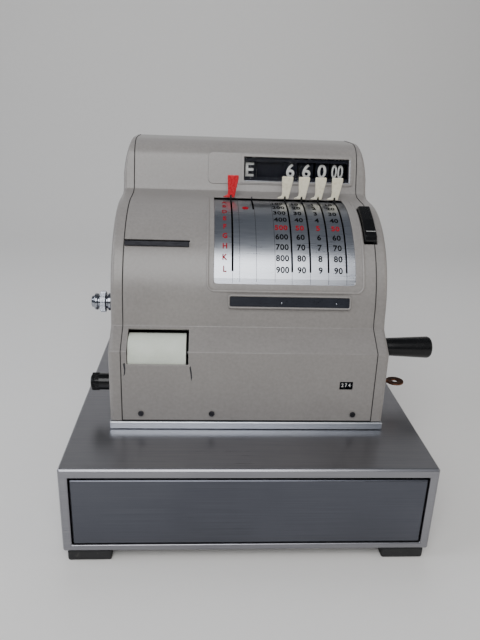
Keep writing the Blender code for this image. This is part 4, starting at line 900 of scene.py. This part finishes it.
class REGISTER_OT_cabinet(bpy.types.Operator):
    """Finish the drawer cabinet, the drawer, the plinth and the feet"""
    bl_idname = "register.cabinet"
    bl_label = "Cabinet and Drawer"

    def execute(self, context):
        refined("drawer_cabinet", "steel", 0.0020, 4)
        refined("drawer_front", "drawer", 0.0010, 3)
        refined("base_plate", "aluminium", 0.0006, 2)
        for corner in ("front_left", "front_right", "rear_left", "rear_right"):
            refined("foot_" + corner, "rubber", 0.0012, 3)
        refined("drawer_tray", "machined", 0.0004)
        refined("coin_tray", "phenolic", 0.0005)
        return {"FINISHED"}


class REGISTER_OT_mechanism(bpy.types.Operator):
    """Give the pieces inside their finishes, and colour the drum shaft as painted shade"""
    bl_idname = "register.mechanism"
    bl_label = "Mechanism"

    def execute(self, context):
        # The drum shaft is coloured as painted shade, so that it reads dark between the drums.
        dress("drum_shaft", "shadow")
        for node in ("frame_left", "frame_right", "tie_rod_front", "lever_shaft", "drawer_latch",
                     "crank_shaft", "crank_gear", "main_shaft", "main_gear", "totals_wheels"):
            dress(node, "gunmetal")
        return {"FINISHED"}


class REGISTER_OT_stage(bpy.types.Operator):
    """Set the pale floor, the soft lights and the camera"""
    bl_idname = "register.stage"
    bl_label = "Stage"

    def execute(self, context):
        self.add_floor(context.scene)
        self.add_lights(context.scene)
        self.add_camera(context.scene)
        return {"FINISHED"}

    @staticmethod
    def add_floor(scene):
        """A sheet of matt paper that runs back under the register and bends up behind it."""
        colour = settings()[0].floor_colour
        paper = bpy.data.materials.new("matt_studio_paper")
        paper.use_nodes = True
        tree = paper.node_tree
        shader = tree.nodes["Principled BSDF"]
        place = put(tree, "ShaderNodeTexCoord").outputs["Object"]
        fibre = put(tree, "ShaderNodeTexNoise", {"Vector": place, "Scale": 60.0, "Detail": 4.0})
        dim = (*[c * 0.97 for c in colour], 1)
        tint = put(tree, "ShaderNodeMix", {0: fibre.outputs["Fac"], 6: dim, 7: (*colour, 1)},
                   data_type="RGBA")
        tree.links.new(tint.outputs[2], shader.inputs["Base Color"])
        shader.inputs["Roughness"].default_value = 0.85
        bend = [(SWEEP_BEND + SWEEP_RADIUS * math.sin(math.radians(a)),
                 SWEEP_RADIUS - SWEEP_RADIUS * math.cos(math.radians(a))) for a in range(10, 91, 10)]
        profile = [(SWEEP_NEAR, 0.0), (SWEEP_BEND, 0.0), *bend, (SWEEP_BEND + SWEEP_RADIUS, SWEEP_TOP)]
        points = [(x, y, z) for x in (-SWEEP_HALF_WIDTH, SWEEP_HALF_WIDTH) for y, z in profile]
        count = len(profile)
        mesh = bpy.data.meshes.new("studio_sweep")
        mesh.from_pydata(points, [], [(i, i + count, i + count + 1, i + 1) for i in range(count - 1)])
        mesh.shade_smooth()
        mesh.materials.append(paper)
        sweep = bpy.data.objects.new("studio_sweep", mesh)
        scene.collection.objects.link(sweep)

    @staticmethod
    def add_lights(scene):
        """A dim cool surround and four square softboxes aimed at the register."""
        world = bpy.data.worlds.new("soft_studio")
        scene.world = world
        world.use_nodes = True
        background = world.node_tree.nodes["Background"]
        background.inputs["Color"].default_value = linear("C4CAD4")
        background.inputs["Strength"].default_value = 0.26
        for name, spot, size, power, tint in SOFTBOXES:
            data = bpy.data.lights.new(name, "AREA")
            data.shape = "SQUARE"
            data.size = size
            data.energy = power
            data.color = linear(tint)[:3]
            lamp = bpy.data.objects.new(name, data)
            lamp.location = spot
            aim = Vector(LIGHT_TARGET) - Vector(spot)
            lamp.rotation_euler = aim.to_track_quat("-Z", "Y").to_euler()
            lamp.visible_glossy = name != "top_softbox"      # it lights the top without a streak
            scene.collection.objects.link(lamp)

    @staticmethod
    def add_camera(scene):
        """A camera in front of the register, a little to its left and looking down on it."""
        yaw, pitch, roll = CAMERA_YAW, CAMERA_PITCH, CAMERA_ROLL
        ahead = Vector((math.sin(yaw) * math.cos(pitch), math.cos(yaw) * math.cos(pitch),
                        -math.sin(pitch)))
        across = Vector((math.cos(yaw), -math.sin(yaw), 0))
        above = across.cross(ahead)
        right = math.cos(roll) * across + math.sin(roll) * above
        up = -math.sin(roll) * across + math.cos(roll) * above
        view = Matrix((right, up, -ahead)).transposed().to_4x4()
        view.translation = (MIDDLE - CAMERA_LEFT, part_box("drawer_cabinet")[0][1] - CAMERA_AHEAD,
                            CAMERA_HEIGHT)
        data = bpy.data.cameras.new("camera")
        data.sensor_fit = "VERTICAL"
        data.sensor_height = SENSOR_HEIGHT
        data.lens = CAMERA_LENS
        data.clip_start = 0.01
        camera = bpy.data.objects.new("camera", data)
        camera.matrix_world = view
        scene.collection.objects.link(camera)
        scene.camera = camera


class REGISTER_PT_panel(bpy.types.Panel):
    """Lists the register's settings and steps"""
    bl_idname = "REGISTER_PT_panel"
    bl_label = "Crank Cash Register"
    bl_space_type = "VIEW_3D"
    bl_region_type = "UI"
    bl_category = "Register"

    def draw(self, context):
        for group in (context.scene.register_finish, context.scene.register_sizes):
            for name in group.__annotations__:
                self.layout.prop(group, name)
        for step in STEPS:
            self.layout.operator(step.bl_idname)


STEPS = (REGISTER_OT_materials, REGISTER_OT_casing, REGISTER_OT_head, REGISTER_OT_drums,
         REGISTER_OT_keyplate, REGISTER_OT_levers, REGISTER_OT_front_fittings, REGISTER_OT_controls,
         REGISTER_OT_cabinet, REGISTER_OT_mechanism, REGISTER_OT_stage)
CLASSES = (RegisterFinishSettings, RegisterSizeSettings, *STEPS, REGISTER_PT_panel)


def register():
    for each in CLASSES:
        bpy.utils.register_class(each)
    bpy.types.Scene.register_finish = bpy.props.PointerProperty(type=RegisterFinishSettings)
    bpy.types.Scene.register_sizes = bpy.props.PointerProperty(type=RegisterSizeSettings)


def unregister():
    del bpy.types.Scene.register_finish
    del bpy.types.Scene.register_sizes
    for each in reversed(CLASSES):
        bpy.utils.unregister_class(each)


def main():
    register()
    for step in STEPS:
        group, name = step.bl_idname.split(".")
        getattr(getattr(bpy.ops, group), name)()


if __name__ == "__main__":
    main()
